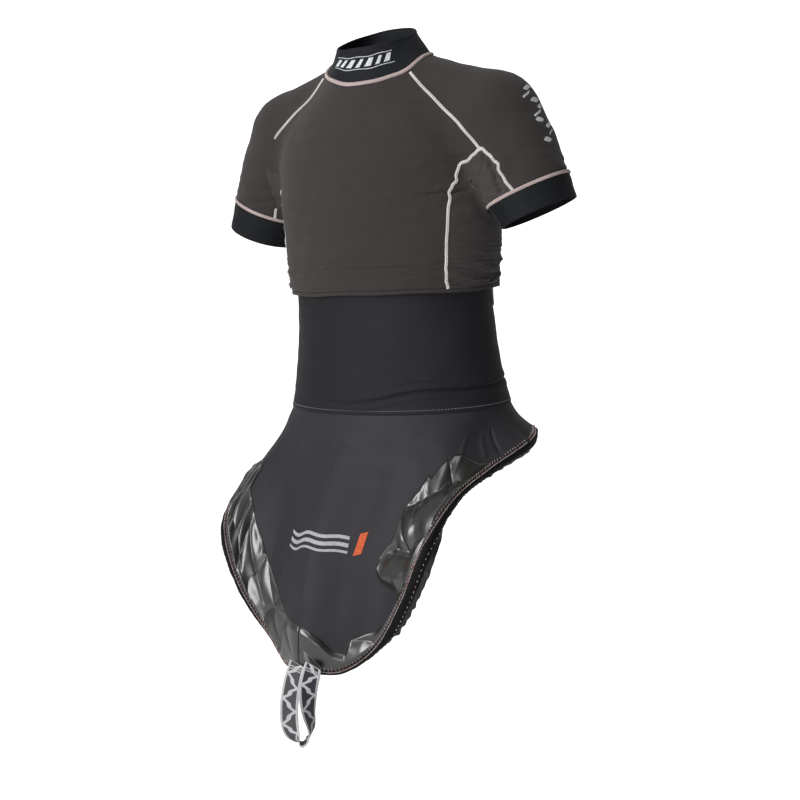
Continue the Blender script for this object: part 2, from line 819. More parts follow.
def webbing():
    """woven webbing: pale selvedges and a repeating zigzag of dark triangles"""
    mat = Material("loop_webbing", srgb(240, 240, 244), 0.72, specular=0.3)
    split = mat.node("ShaderNodeSeparateXYZ")
    mat.feed(split.inputs[0], mat.coords["UV"])
    across = mat.times(split.outputs[0], 40.0)  # 0 to 1 over the 25 mm width
    repeats = mat.times(split.outputs[1], 1000 / 34.0)  # one repeat each 34 mm

    def zigzag(cycles):
        doubled = mat.times(mat.math("FRACT", cycles), 2.0)
        return mat.math("ABSOLUTE", mat.math("SUBTRACT", doubled, 1.0))

    broad = mat.times(zigzag(repeats), 0.60)
    teeth = mat.times(zigzag(mat.times(repeats, 3.0)), 0.13)
    line = mat.add(mat.add(broad, teeth), 0.14)
    # dark on both sides of a pale zigzag line, but never on the selvedges
    offset = mat.math("SUBTRACT", across, line)
    above = mat.ramp(offset, span=(0.100, 0.118))
    below = mat.ramp(offset, span=(-0.140, -0.122), out=(1, 0))
    inside = mat.times(
        mat.ramp(across, span=(0.12, 0.14)), mat.ramp(across, span=(0.86, 0.88), out=(1, 0))
    )
    dark = mat.times(mat.math("MAXIMUM", above, below), inside)
    wear = mat.noise(scale=28, detail=2, rough=0.5)
    # the ink is greyer over the first 10 to 17 cm of the loop
    ink_change = mat.ramp(split.outputs[1], span=(0.10, 0.17))
    ink = mat.mix(ink_change, srgb(88, 88, 92), srgb(46, 48, 62))
    weave = mat.times(mat.wave(1.5, "X"), mat.wave(1.1, "Y"))
    gaps = mat.times(mat.math("SUBTRACT", 1.0, weave), 0.22)
    shade = mat.mix(dark, srgb(244, 244, 248), ink)
    shade = mat.mix(gaps, shade, tint(srgb(120, 120, 126), 0.5))
    soiling = mat.ramp(wear, span=(0.35, 0.75), out=(0, 0.16))
    mat.shade("Base Color", mat.mix(soiling, shade, srgb(150, 146, 140)))
    mat.shade("Roughness", mat.ramp(wear, span=MIDDLE, out=(0.66, 0.8)))
    mat.bump(weave, strength=0.6, distance=0.0006)
    mat.sheen(weight=0.2)
    return mat.mat


TOP_KNIT = knit("top_knit", srgb(66, 61, 60))
SIDE_KNIT = knit("side_knit", srgb(76, 72, 71), pitch=1.5)
COLLAR_MAT = neoprene("collar_knit", srgb(31, 33, 38), rough=0.7, specular=0.25)
CUFF_MAT = neoprene(
    "cuff_knit", srgb(31, 33, 37), rough=0.72, specular=0.22, pitch=1.4, relief=0.4
)
TUBE_MAT = neoprene("tube_neoprene", srgb(38, 38, 43), rough=0.66, specular=0.28)
DECK_MAT = neoprene("deck_neoprene", srgb(55, 53, 58), rough=0.6, specular=0.32)
DECK_REAR_MAT = neoprene("deck_rear_neoprene", srgb(52, 50, 55), rough=0.6, specular=0.32)
GLOSS_RUBBER = rubber("gloss_rubber", srgb(27, 29, 24), rough=0.29, coat=0.8, ior=1.72)
BINDING_MAT = neoprene(
    "binding_tape", srgb(11, 11, 13), rough=0.6, specular=0.25, pitch=1.2, relief=0.5
)
GRIP_RUBBER = rubber("grip_rubber", srgb(24, 24, 26), rough=0.42, coat=0.1)
SEAM_WHITE = thread("flatlock_white", srgb(252, 247, 243), twist=1.1)
SEAM_PINK = thread("flatlock_pink", srgb(236, 216, 213), twist=1.1)
EDGE_THREAD = thread(
    "edge_thread", srgb(248, 226, 224), second=srgb(226, 110, 88), threshold=0.60
)
DOT_THREAD = thread("dot_thread", srgb(246, 228, 230), second=srgb(222, 132, 118), threshold=0.62)
WAIST_THREAD = thread("waist_thread", srgb(176, 174, 182))
TACK_THREAD = thread("tack_thread", srgb(250, 248, 246))
TAB_WEAVE = knit("tab_weave", srgb(120, 118, 119), pitch=1.0, rough=0.75, vary=0.18)
ELASTIC_WEAVE = knit("elastic_weave", srgb(32, 32, 35), pitch=2.2, rough=0.8, relief=0.6)
CORD_BRAID = thread("cord_braid", srgb(84, 84, 90), second=srgb(40, 40, 44), twist=3.0)
PRINT_GREY = printed("print_grey", srgb(206, 207, 212))
PRINT_WHITE = printed("print_white", srgb(250, 252, 254))
PRINT_ORANGE = printed("print_orange", srgb(250, 112, 58))
CRIMP_METAL = crimp_metal()
WEBBING = webbing()
BLACK_THREAD = thread("black_thread", srgb(58, 58, 62))

# ------------------------------------------------------------------ folds of the top
big_folds = Waves(3, 120)
mid_folds = Waves(5, 46)
fine_folds = Waves(9, 17)
hem_waves = Waves(12, 60)

# drag lines: start x y z, end x y z, half width, height outward (negative is a groove)
DRAG_LINES = [
    (104, -92, 289, 127, -77, 290, 1.9, -3.4), (127, -77, 290, 155, -46, 292, 1.9, -4.4),
    (155, -46, 292, 172, -36, 294, 2.4, -4.4), (186, -53, 335, 195, -52, 326, 2.4, -4.5),
    (194, -52, 327, 201, -50, 313, 2.8, -6.0), (201, -50, 314, 203, -49, 299, 3.0, -6.5),
    (203, -49, 300, 209, -47, 284, 3.2, -6.5), (128, -78, 296, 150, -56, 299, 4.0, 1.6),
    (128, -76, 283, 154, -50, 284, 3.6, 1.4), (88, -101, 296, 116, -87, 290, 3.5, -1.0),
    (124, -80, 333, 100, -94, 322, 5.0, 0.9), (100, -92, 305, 128, -76, 308, 4.5, 0.9),
    (97, -95, 268, 134, -70, 276, 5.0, 1.2), (92, -97, 250, 130, -72, 262, 4.0, -1.0),
    (140, -62, 262, 160, -30, 270, 4.0, 1.8), (142, -60, 244, 162, -20, 250, 3.6, -1.6),
    (150, -45, 226, 163, -8, 236, 4.2, 1.8), (70, -103, 345, 108, -88, 338, 5.0, -0.8),
    (88, -98, 372, 116, -80, 360, 5.0, -0.8), (-60, -106, 300, -110, -88, 306, 6.0, 0.8),
    (-100, -90, 262, -140, -62, 270, 5.0, 1.2), (-70, -105, 235, -120, -82, 228, 6.0, -1.0),
    (30, -118, 215, -40, -117, 222, 8.0, 0.8), (-20, -117, 330, 50, -112, 322, 9.0, 0.6),
    (60, 118, 300, -30, 122, 310, 8.0, 1.0), (-90, 104, 270, -20, 121, 262, 7.0, -1.2),
    (40, 120, 230, 110, 92, 244, 6.0, 1.4), (-60, 116, 350, 40, 116, 345, 8.0, 0.9),
    (100, 96, 330, 140, 76, 318, 5.0, 1.3), (-100, 96, 330, -140, 76, 318, 5.0, 1.3),
    (196, -50, 322, 204, -20, 300, 3.0, -2.2), (188, -53, 330, 176, -48, 300, 3.0, -2.4),
    (-196, -50, 322, -204, -20, 300, 3.0, -2.0), (200, 70, 322, 208, 30, 300, 3.0, -2.0),
    (-200, 70, 322, -208, 30, 300, 3.0, -2.0), (215, -50, 330, 232, -30, 300, 5.0, 1.1),
    (-215, -50, 322, -236, -28, 296, 5.0, 1.2), (-206, -46, 345, -240, -10, 330, 7.0, 0.9),
]


def fold_height(points):
    x, z = points[..., 0], points[..., 2]
    height = 0.9 * big_folds(points) + 0.42 * mid_folds(points * array([1, 1, 1.5]))
    height = height + ease(z, 300, 200) * 0.55 * mid_folds(points * array([0.45, 0.45, 3.0]))
    near_arm = ease(np.abs(x), 120, 175) * ease(z, 370, 320)
    height = height + near_arm * 0.7 * fine_folds(points * array([0.5, 0.5, 1.6]))
    for row in DRAG_LINES:
        start, end, (width, rise) = array(row[:3], float), array(row[3:6], float), row[6:]
        along, share, nearest = segment_distance(points, start, end)
        from_middle = np.abs(2 * share - 1)
        wobble = 2.0 * sin(along * 7 + start[2]) * (1 - from_middle)
        distance = np.linalg.norm(points - nearest - UP * wobble[..., None], axis=-1)
        height = height + rise * bell(distance, width) * np.clip(1.15 - from_middle**3, 0, 1)
    # nothing moves at the collar seam, and the cloth is calm near it
    to_collar = np.linalg.norm(points - array([0, -10, 470.0]), axis=-1)
    return height * ease(to_collar, 70, 130)


SIM_TOP = 300.0  # height where the simulated cloth begins
SIM_ROWS, SIM_COLS = 50, 190
SIM_LIMIT = 8.5  # largest offset kept


def simulate_gathers():
    """offsets of the lower top from the torso, by cloth simulation: too much cloth for its
    height bunches above the hem, most at the sides"""
    angles = arange(SIM_COLS) * 360.0 / SIM_COLS
    heights = SIM_TOP - (SIM_TOP - HEM) * (arange(SIM_ROWS + 1) / SIM_ROWS)
    z, angle = np.meshgrid(heights, angles, indexing="ij")
    base = torso_ring(z, angle)
    at_side = np.abs(sin(radians(angle))) ** 5
    extra = 3.0 + 16.0 * at_side + 3.0 * (0.5 + 0.5 * sin(radians(3 * angle + 40)))
    extra = extra * ease(z, 250, HEM)
    out = -grid_normals(base, True)
    clearance = 0.6 + 0.25 * hem_waves(base * array([0.6, 0.6, 3.0]))
    start = torso_ring(z - extra, angle) + out * clearance[..., None]
    end = base + out * 0.6
    index = index_grid(SIM_ROWS + 1, SIM_COLS)
    cloth = mesh("sim_cloth", start.reshape(-1, 3), cells(index, flip=True))

    # the body inside
    z, angle = np.meshgrid(linspace(330, 112, 60), arange(120) * 3.0, indexing="ij")
    skin = torso_ring(z, angle)
    skin = skin - unit(skin - stack([0 * z, 0 * z, z], -1)) * 1.6
    body = mesh("sim_body", skin.reshape(-1, 3), cells(index_grid(60, 120), flip=True))
    body.modifiers.new("Collision", "COLLISION")
    body.collision.thickness_outer = 0.001
    body.collision.cloth_friction = 8

    # a shape key draws the hem up while the border rows stay pinned to it
    cloth.shape_key_add(name="Basis")
    key = cloth.shape_key_add(name="up")
    key.data.foreach_set("co", (end.reshape(-1, 3) * 0.001).astype(np.float32).ravel())
    for value, frame in ((0, 1), (1, 26)):
        key.value = value
        key.keyframe_insert("value", frame=frame)
    pins = cloth.vertex_groups.new(name="pin")
    pins.add([int(i) for row in (0, -1, -2) for i in index[row, :-1]], 1.0, "REPLACE")
    modifier = cloth.modifiers.new("Cloth", "CLOTH")
    set_all(
        modifier.settings,
        quality=6,
        mass=0.12,
        tension_stiffness=18,
        compression_stiffness=18,
        shear_stiffness=6,
        bending_stiffness=0.25,
        tension_damping=8,
        compression_damping=8,
        bending_damping=0.8,
        vertex_group_mass="pin",
    )
    modifier.settings.effector_weights.gravity = 0.25
    set_all(modifier.collision_settings, distance_min=0.0008, use_self_collision=False)
    set_all(modifier.point_cache, frame_start=1, frame_end=36)
    scene = bpy.context.scene
    for frame in range(1, 35):
        scene.frame_set(frame)
    data = cloth.evaluated_get(bpy.context.evaluated_depsgraph_get()).data
    flat = np.zeros(len(data.vertices) * 3, np.float32)
    data.vertices.foreach_get("co", flat)
    result = flat.reshape(SIM_ROWS + 1, SIM_COLS, 3).astype(float) * 1000
    scene.frame_set(1)
    bpy.data.objects.remove(cloth)
    bpy.data.objects.remove(body)
    offsets = result - base
    # a simulation that blew up is not used
    if not np.isfinite(offsets).all():
        return None
    size = np.linalg.norm(offsets, axis=-1, keepdims=True)
    return offsets * np.minimum(1, SIM_LIMIT / np.maximum(size, 1e-6))


sim_offsets = simulate_gathers()


def side_bunch(points):
    """the bunching above the hem at both sides, by formula"""
    x, y, z = points[..., 0], points[..., 1], points[..., 2]
    turn = np.arctan2(x / 160, -y / 118)
    height = np.abs(sin(turn)) ** 5 * 4.0 * np.clip(sin((z + 5 * sin(5 * turn)) / 3.1), -0.4, 1)
    height = height * ease(z, 236, 190) * ease(z, 158, 166)
    return unit(stack([x, y * 1.7, 0 * z], -1)) * height[..., None]


def gather_offset(points):
    if sim_offsets is None:
        return side_bunch(points)
    x, y, z = points[..., 0], points[..., 1], points[..., 2]
    half_width, half_depth, middle = (lookup(z, TORSO, i) for i in (1, 2, 3))
    angle = np.degrees(np.arctan2(x / half_width, -(y - middle) / half_depth)) % 360
    col = angle / 360 * SIM_COLS
    row = np.clip((SIM_TOP - z) / (SIM_TOP - HEM) * SIM_ROWS, 0, SIM_ROWS)
    row_index = np.clip(np.floor(row).astype(int), 0, SIM_ROWS - 1)
    col_index = np.floor(col).astype(int) % SIM_COLS
    down, across = (row - row_index)[..., None], (col - np.floor(col))[..., None]
    next_col = (col_index + 1) % SIM_COLS
    offset = bilinear(sim_offsets, row_index, col_index, next_col, down, across)
    return offset * (z < SIM_TOP)[..., None] + 0.7 * side_bunch(points)


def drape(points):
    """from the smooth body surface to the worn cloth"""
    points = np.asarray(points, float)
    cloth = points + body_normal(points) * fold_height(points)[..., None]
    folded = points.copy()
    folded[..., 0] = np.abs(folded[..., 0])
    z = points[..., 2]
    on_torso = ease(np.abs(torso_distance(folded)), 16, 6) * ease(z, 304, 288)
    cloth = cloth + gather_offset(points) * on_torso[..., None]
    # the hem line wavers a little
    turn = np.arctan2(points[..., 0], -points[..., 1])
    cloth[..., 2] += ease(z, 190, 160) * (0.9 * sin(3 * turn + 0.6) + 0.6 * sin(7 * turn + 2))
    return cloth


def drape_normals(points):
    """cloth points and cloth normals at smooth surface points"""
    points = np.asarray(points, float)
    out = body_normal(points)
    first = unit(np.cross(out, array([0.02, 0.03, 1.0])))
    slopes = [
        drape(points + axis * 1.2) - drape(points - axis * 1.2)
        for axis in (first, np.cross(out, first))
    ]
    return drape(points), facing(unit(np.cross(*slopes)), out)


# ------------------------------------------------------------------ top panels
# name, piece, grid, side, material, slot
PANELS = [
    ("chest_cloth", "chest_panel", chest_grid(210, 160), LEFT, TOP_KNIT, "top_fabric"),
    ("back_cloth", "back_panel", back_grid(140, 110), LEFT, TOP_KNIT, "top_fabric"),
    ("left_sleeve_cloth", "sleeve_left", sleeve_grid(LEFT, 110, 90), LEFT,
     TOP_KNIT, "top_fabric"),
    ("right_sleeve_cloth", "sleeve_right", sleeve_grid(RIGHT, 110, 90), RIGHT,
     TOP_KNIT, "top_fabric"),
    ("left_side_cloth", "side_panel_left", side_grid(LEFT, 280, 90), LEFT,
     SIDE_KNIT, "side_fabric"),
    ("right_side_cloth", "side_panel_right", side_grid(RIGHT, 150, 56), RIGHT,
     SIDE_KNIT, "side_fabric"),
]
for name, piece, grid, side, mat, slot in PANELS:
    grid = to_side(grid, side)
    cloth = drape(grid)
    body_out = body_normal(grid)
    # borders can be squeezed to nothing, so the body's normals help there
    normals = unit(facing(grid_normals(cloth, False), body_out) + 1e-3 * body_out)
    register(sheet(name, cloth, normals, 1.1, mat), "root", piece)

# ------------------------------------------------------------------ flatlock seams
# half profile of the padded strip: share of the half width, share of the height
STRIP_X = array([-1, -0.86, -0.5, 0, 0.5, 0.86, 1.0])
STRIP_H = array([0.05, 0.62, 0.95, 1.0, 0.95, 0.62, 0.05])
SEAM_THREAD_R = 0.34


def flatlock(name, lines, width, mat, piece, lift=0.25, height=0.75, pitch=2.1):
    """padded strip with a zigzag of covering thread and two needle rows, along each
    (points, normals, closed) of lines"""
    points, faces, uvs, paths, start = [], [], [], [], 0
    strip_x = np.r_[STRIP_X, STRIP_X[::-1]] * width / 2
    strip_h = np.r_[lift + height * STRIP_H, np.full(7, -0.35)]
    sides = len(strip_x)
    for line, normals, closed in lines:
        if closed:
            ahead = unit(np.roll(line, -1, 0) - np.roll(line, 1, 0))
        else:
            ahead = unit(np.gradient(line, axis=0))
        across = unit(np.cross(normals, ahead))
        out = np.cross(ahead, across)
        ring = line[:, None] + across[:, None] * strip_x[:, None] + out[:, None] * strip_h[:, None]
        ring += across[:, None] * (0.12 * sin(arc_length(line) * 2.1))[:, None, None]
        points.append(ring.reshape(-1, 3))
        index = index_grid(len(line), sides, start)
        start += len(line) * sides
        if closed:
            index, line, across, out = (close(part) for part in (index, line, across, out))
        arc = arc_length(line)
        faces.append(cells(index, flip=True))
        uvs.append(cells(uv_grid(arange(sides + 1) * width / 6, arc), flip=True))
        if not closed:
            faces.append(array([index[0, [0, 3, 6, 10]], index[-1, [0, 10, 6, 3]]]))
            uvs.append(np.zeros((2, 4, 2)))
        # covering thread
        turns = int(arc[-1] / pitch) * 2
        x = linspace(0, turns, turns * 4 + 1)
        place = x / turns * arc[-1]
        zigzag = (2 * np.abs(2 * ((x / 2) % 1) - 1) - 1) * 0.93
        middle, sideways, rise = (interp_points(place, arc, p) for p in (line, across, out))
        cover = interp(np.abs(zigzag), [0, 0.5, 0.86, 1.0], [1.0, 0.95, 0.62, 0.1])
        cover = lift + height * cover + SEAM_THREAD_R * 0.55
        path = middle + sideways * (zigzag * width / 2)[:, None] + rise * cover[:, None]
        paths.append((path, rise))
        needle = SEAM_THREAD_R * (0.6 + 0.5 * np.abs(sin(place * pi / pitch)))
        needle = lift + height * 0.96 + needle
        for offset in (-0.45, 0.45):
            path = middle + sideways * (offset * width / 2) + rise * needle[:, None]
            paths.append((path, rise))
    strip = mesh(
        name + "_strip", np.vstack(points), np.vstack(faces), np.concatenate(uvs), mat
    )
    cover = threads(name + "_thread", paths, SEAM_THREAD_R, mat)
    register(join(name, [strip, cover]), "root", piece)


def seam_line(curve, start, end, side, sink=(), wavy=False):
    """draped seam; start, end and the ranges of sink are counted in the curve's points"""
    places = linspace(start, end, 240)
    line = snap(spline_at(curve, places))
    arc = arc_length(line)
    line = resample(line, 1.4)
    place = interp(linspace(0, arc[-1], len(line)), arc, places)
    if wavy:
        # the seam puckers where the side panel bunches under the arm
        across = unit(np.cross(body_normal(line), np.gradient(line, axis=0)))
        size = 1.2 * ease(line[:, 2], 262, 300) + 0.35
        pucker = size * (sin(place * 3.7 + 0.8) + 0.55 * sin(place * 8.3))
        pucker = pucker * ease(place, 0.0, 0.4) * ease(place, 9.9, 9.2)
        line = line + across * pucker[:, None]
    cloth, normals = drape_normals(to_side(snap(line, 3), side))
    if sink:
        # tucked into the fold in front of the armpit
        share = np.prod([ease(place, *span) for span in sink], axis=0)
        cloth = cloth - normals * (2.6 * share)[:, None]
    return cloth, normals, False


raglan_lines, side_lines = [], []
for side in (LEFT, RIGHT):
    right = side == RIGHT
    raglan_lines += [
        seam_line(RAGLAN_FRONT[side], 0.2, 5.0, side, sink=((3.05, 3.5),) if right else ()),
        seam_line(RAGLAN_BACK, 0.2, 5.0, side),
    ]
    side_lines += [
        seam_line(
            SIDE_FRONT[side][::-1] + under_front(side)[1:], 0.0, 9.93, side,
            sink=((4.6, 5.2), (9.4, 9.05)) if right else (), wavy=not right,
        ),
        seam_line(SIDE_BACK[::-1] + under_back(side)[1:], 0.0, 9.93, side),
    ]
flatlock("raglan_flatlock", raglan_lines, 4.2, SEAM_WHITE, "raglan_seams")
flatlock("side_flatlock", side_lines, 4.3, SEAM_WHITE, "side_seams")

collar_ring = resample(closed_ring(COLLAR_BASE[LEFT], COLLAR_BASE[RIGHT], 400), 1.4, closed=True)
line, normals = drape_normals(snap(collar_ring))
flatlock(
    "collar_flatlock", [(line + normals * 0.4, normals, True)], 5.4,
    SEAM_PINK, "collar_seam", lift=0.5, height=1.0, pitch=2.2,
)
cuff_lines = []
for side in (LEFT, RIGHT):
    near, far = (arm_point(CUFF_START[side], arange(0, 360, 1.4), side, g) for g in (0.6, 3.6))
    cuff_lines.append((to_side(near, side), to_side(unit(far - near), side), True))
flatlock(
    "cuff_flatlock", cuff_lines, 4.4, SEAM_PINK, "cuff_seams",
    lift=0.3, height=0.9,
)

# ------------------------------------------------------------------ cuffs
CUFF_STITCH_ROW = 29  # grid row of the cover stitch, near the free edge


def cuff(side, name, piece):
    start = CUFF_START[side]
    end = start + CUFF_LENGTH[side]
    share, angle = np.meshgrid(linspace(0, 1, 34), arange(0, 360, 2.5), indexing="ij")
    points = arm_point(start + 0.8 + (end - start - 0.8) * share, angle, side, 0.35)
    out = unit(arm_point(start + (end - start) * share, angle, side, 3.35) - points)
    ripple = 0.45 * Waves(21 + side, 34)(points) * sin(pi * share)
    ripple = ripple + 0.25 * sin(share * 9) * ease(share, 0.05, 0.3)
    ripple = ripple - 0.25 * bell(share - 0.86, 0.018)
    points = to_side(points + out * ripple[..., None], side)
    out = to_side(out, side)
    shell = sheet(name, points, out, 1.7, CUFF_MAT, wrap=True)
    row = out[CUFF_STITCH_ROW]
    stitches = dashes(points[CUFF_STITCH_ROW] + row * 0.2, row, 3.0, 2.1, closed=True)
    stitches = threads(name + "_th", stitches, 0.22, BLACK_THREAD)
    register(join(name, [shell, stitches]), "root", piece)


cuff(LEFT, "left_cuff_knit", "cuff_left")
cuff(RIGHT, "right_cuff_knit", "cuff_right")

# ------------------------------------------------------------------ collar
COLLAR_COLS, COLLAR_ROWS = 288, 40
COLLAR_STITCH_ROW = 36


def collar_grid():
    base = snap(closed_ring(COLLAR_BASE[LEFT], COLLAR_BASE[RIGHT], COLLAR_COLS))
    top = closed_ring(COLLAR_TOP, COLLAR_TOP, COLLAR_COLS)
    unevenness = Waves(31, 55)
    sway = 0.8 * sin(arange(COLLAR_COLS) / COLLAR_COLS * 4 * pi + 1)
    grid, normals = [], []
    for share in linspace(0, 1, COLLAR_ROWS):
        ring = base * (1 - share) + top * share
        out = unit(stack([ring[:, 0], ring[:, 1] + 8, 0 * ring[:, 0]], -1))
        ring = ring + UP * 0.6 * (1 - share) - out * (5 * share * (1 - share))
        bulge = 0.8 * unevenness(ring) * sin(pi * share) + 0.5 * bell(share - 0.93, 0.05)
        ring = ring + out * bulge[:, None]
        ring[:, 2] += sway * share
        grid.append(ring)
        normals.append(unit(out + UP * 0.35))
    return array(grid), array(normals)


collar_points, collar_normals = collar_grid()
shell = sheet("collar_shell", collar_points, collar_normals, 2.3, COLLAR_MAT, wrap=True)
row = collar_normals[COLLAR_STITCH_ROW]
stitches = dashes(collar_points[COLLAR_STITCH_ROW] + row * 0.05, row, 3.0, 2.0, closed=True)
stitches = threads("collar_th", stitches, 0.22, BLACK_THREAD)
register(join("collar_neoprene", [shell, stitches]), "root", "collar")


def collar_at(step, height):
    """collar surface; step counts columns from the front toward the wearer's left, height is
    a share of the collar's"""
    step = step % COLLAR_COLS
    col = np.floor(step).astype(int) % COLLAR_COLS
    row_place = np.clip(height, 0, 1) * (COLLAR_ROWS - 1)
    row = np.clip(np.floor(row_place).astype(int), 0, COLLAR_ROWS - 2)
    across, down = (step - np.floor(step))[..., None], (row_place - row)[..., None]
    points = bilinear(collar_points, row, col, (col + 1) % COLLAR_COLS, down, across)
    return points, collar_normals[row, col]


# collar print: a run of slanted bars between two fine lines
PRINT_THICK = 0.35
pieces = []
across, up = film_grid(9, 13)
for i, middle in enumerate((-17, -8.5, 0, 9, 18, 27, 36)):
    width = 4.2 if i % 2 else 6.2
    step = middle + (across - 0.5) * width * (1.0 - 0.25 * up) + 4.5 * (up - 0.5)
    surface = collar_at(step, 0.44 + (0.66 - 0.44) * up)
    pieces.append(film(f"cp{i}", surface, PRINT_THICK, PRINT_WHITE))
across, up = film_grid(80, 3)
for i, height in enumerate((0.37, 0.71)):
    surface = collar_at(-22 + across * 64, height + 0.02 * up + 0.012 * sin(across * 18))
    pieces.append(film(f"cq{i}", surface, PRINT_THICK, PRINT_WHITE))
register(join("collar_film", pieces), "root", "collar_print")

# sleeve print: broken strokes running down the outside of the left sleeve
pieces = []
random = np.random.RandomState(4)
across, down = film_grid(9, 9)
for i in range(9):
    half_width = 5 + 4 * random.rand()
    angle = (
        2 + 9 * sin(i * 1.7)
        + half_width * (across - 0.5) * 2 * (0.4 + 0.6 * sin(pi * down))
        + 10 * (down - 0.5) * sin(i * 2.1)
    )
    along = -18 + i * 9.5 + 6.2 * down + 2.5 * across
    surface = drape_normals(snap(arm_point(along, angle, LEFT), 4))
    pieces.append(film(f"sp{i}", surface, PRINT_THICK, PRINT_WHITE))
register(join("sleeve_film", pieces), "root", "sleeve_print")

# ------------------------------------------------------------------ hem, elastic, tube


def turned_band(name, rows, out, check_row, mat, piece):
    """thin closed band from profile rows, its outside told by the normals of one row"""
    grid = array(rows)
    normals = grid_normals(grid, True)
    outward = np.sign((normals[check_row] * out).sum(-1).mean())
    register(sheet(name, grid, normals * outward, 0.5, mat, wrap=True), "root", piece)


ring_angles = arange(0, 360, 1.25)

# folded hem; profile as outward offset, height
HEM_PROFILE = (
    [(0.0, -1.0), (0.05, -2.5), (0.1, -4.0)]
    + [(-0.8 + 0.8 * cos(turn), -5.0 - 0.8 * sin(turn)) for turn in linspace(0, pi, 9)]
    + [(-1.6, -4.0), (-1.7, -1.0), (-1.7, 3.0), (-1.6, 7.0)]
)
hem_line = drape(snap(torso_ring(HEM + 0.2, ring_angles)))
hem_out = unit(torso_ring(HEM, ring_angles) * array([1, 1.7, 0]))
rows = [hem_line + hem_out * out + UP * (z - 0.1) for out, z in HEM_PROFILE]
turned_band("hem_fold", rows, hem_out, 1, TOP_KNIT, "top_hem_band")

TUBE_NECK = (147, 112)  # half width and half depth at its narrowest
# height, half width, half depth
TUBE = [
    [0, 168, 125], [12, 164.5, 122], [40, 159, 118.5], [90, 152, 115],
    [146, *TUBE_NECK], [183, 148, 112],
]
# the roll of neoprene just above the seam, sharpest on the wearer's left:
# angle, height of its crease
ROLL_HEIGHT = [
    [-180, 30], [-60, 22], [0, 13], [9, 16], [17, 19], [28, 25], [38, 29],
    [52, 29], [65, 28], [84, 29], [110, 33], [150, 30], [180, 30],
]
# angle, size
ROLL_SIZE = [
    [-180, 0.3], [-90, 0.3], [-30, 0.3], [0, 1.0], [15, 1.8], [40, 2.5],
    [90, 2.6], [120, 1.3], [180, 0.3],
]
broad_dents, small_dents = Waves(41, 90), Waves(43, 30)
tube_heights = linspace(0, 184, 93)
blur = np.hanning(13) / np.hanning(13).sum()
tube_sizes = [
    np.convolve(np.pad(lookup(tube_heights, TUBE, i), 6, mode="edge"), blur, "valid")
    for i in (1, 2)
]


def tube_size(z):
    return [interp(z, tube_heights, size) for size in tube_sizes]


def tube_point(z, angle, grow=0.0):
    z, turn = np.broadcast_arrays(np.asarray(z, float), radians(np.asarray(angle, float)))
    half_width, half_depth = tube_size(z)
    y = -(half_depth + grow) * cos(turn) - np.minimum(1, z / 60)
    return stack([(half_width + grow) * sin(turn), y, z], -1)


def tube_folds(z, angle):
    points = tube_point(z, angle)
    height = 0.7 * broad_dents(points) + 0.28 * small_dents(points * array([0.6, 0.6, 1.6]))
    angle = (angle + 180) % 360 - 180
    crease = lookup(angle, ROLL_HEIGHT)
    size = lookup(angle, ROLL_SIZE)
    height = height - size * bell(z - crease, 1.7)
    height = height + size * 0.75 * bell(z - crease - 6, 4.5)
    height = height + size * 0.55 * bell(z - crease + 7, 4.0)
    second = crease + 8 + 4 * sin(radians(angle * 2.2))
    at_left = ease(angle, 10, 30) * ease(angle, 62, 45)
    height = height - size * 0.55 * bell(z - second, 1.5) * at_left
    return height * ease(z, 0, 8) * ease(z, 183, 157)


rows = np.r_[linspace(0.8, 60, 70), linspace(61.5, 183, 64)]
z, angle = np.meshgrid(rows, ring_angles, indexing="ij")
normals = ellipse_normal(angle, *tube_size(z))
points = tube_point(z, angle) + normals * tube_folds(z, angle)[..., None]
tube = sheet("waist_tube_neoprene", points, normals, 2.2, TUBE_MAT, wrap=True)
register(tube, "root", "waist_tube")

ELASTIC_BOTTOM, ELASTIC_HEIGHT = HEM + 6, 8
rows = linspace(ELASTIC_BOTTOM, ELASTIC_BOTTOM + ELASTIC_HEIGHT, 9)
z, angle = np.meshgrid(rows, arange(0, 360, 2.0), indexing="ij")
normals = ellipse_normal(angle, *TUBE_NECK)
ripple = 0.25 * sin(radians(angle) * 40) * sin((z - ELASTIC_BOTTOM) / ELASTIC_HEIGHT * pi)
points = tube_point(z, angle, 3.0) + normals * ripple[..., None]
elastic = sheet("hem_elastic_band", points, normals, 2.2, ELASTIC_WEAVE, wrap=True)
register(elastic, "root", "hem_elastic")

# small woven tab below the hem on the wearer's left, narrowing downward
TAB_ANGLE, TAB_HALF_ANGLE, TAB_HEIGHT = 109, 6.2, 25
across, down = np.meshgrid(linspace(-1, 1, 13), linspace(0, 1, 21))
angle = TAB_ANGLE + across * TAB_HALF_ANGLE * (1 - down * 0.84) + 0.6 * sin(down * 5)
normals = ellipse_normal(angle, *TUBE_NECK)
points = tube_point(HEM - 6 - TAB_HEIGHT * down, angle)
points = points + normals * (1.4 + 0.5 * down + 0.4 * cos(across * 2))[..., None]
tab = sheet("tab_cloth", points, normals, 0.9, TAB_WEAVE)
stitches = dashes(points[2], normals[2], 1.6, 1.1)
for col in (2, -3):
    stitches += dashes(points[:-2, col], normals[:-2, col], 2.2, 1.4)
stitches = threads("tab_th", stitches, 0.2, TACK_THREAD)
register(join("hem_label_tab", [tab, stitches]), "root", "hem_tab")

# ------------------------------------------------------------------ deck surface
# A place on the deck is a station round the edge (0 at the front, 12 at the back, 24 in all)
# and a share of the way from the waist (0) to the edge (1).
WAIST = (167, 124)  # half width and half depth of the waist ellipse
STATIONS = 24
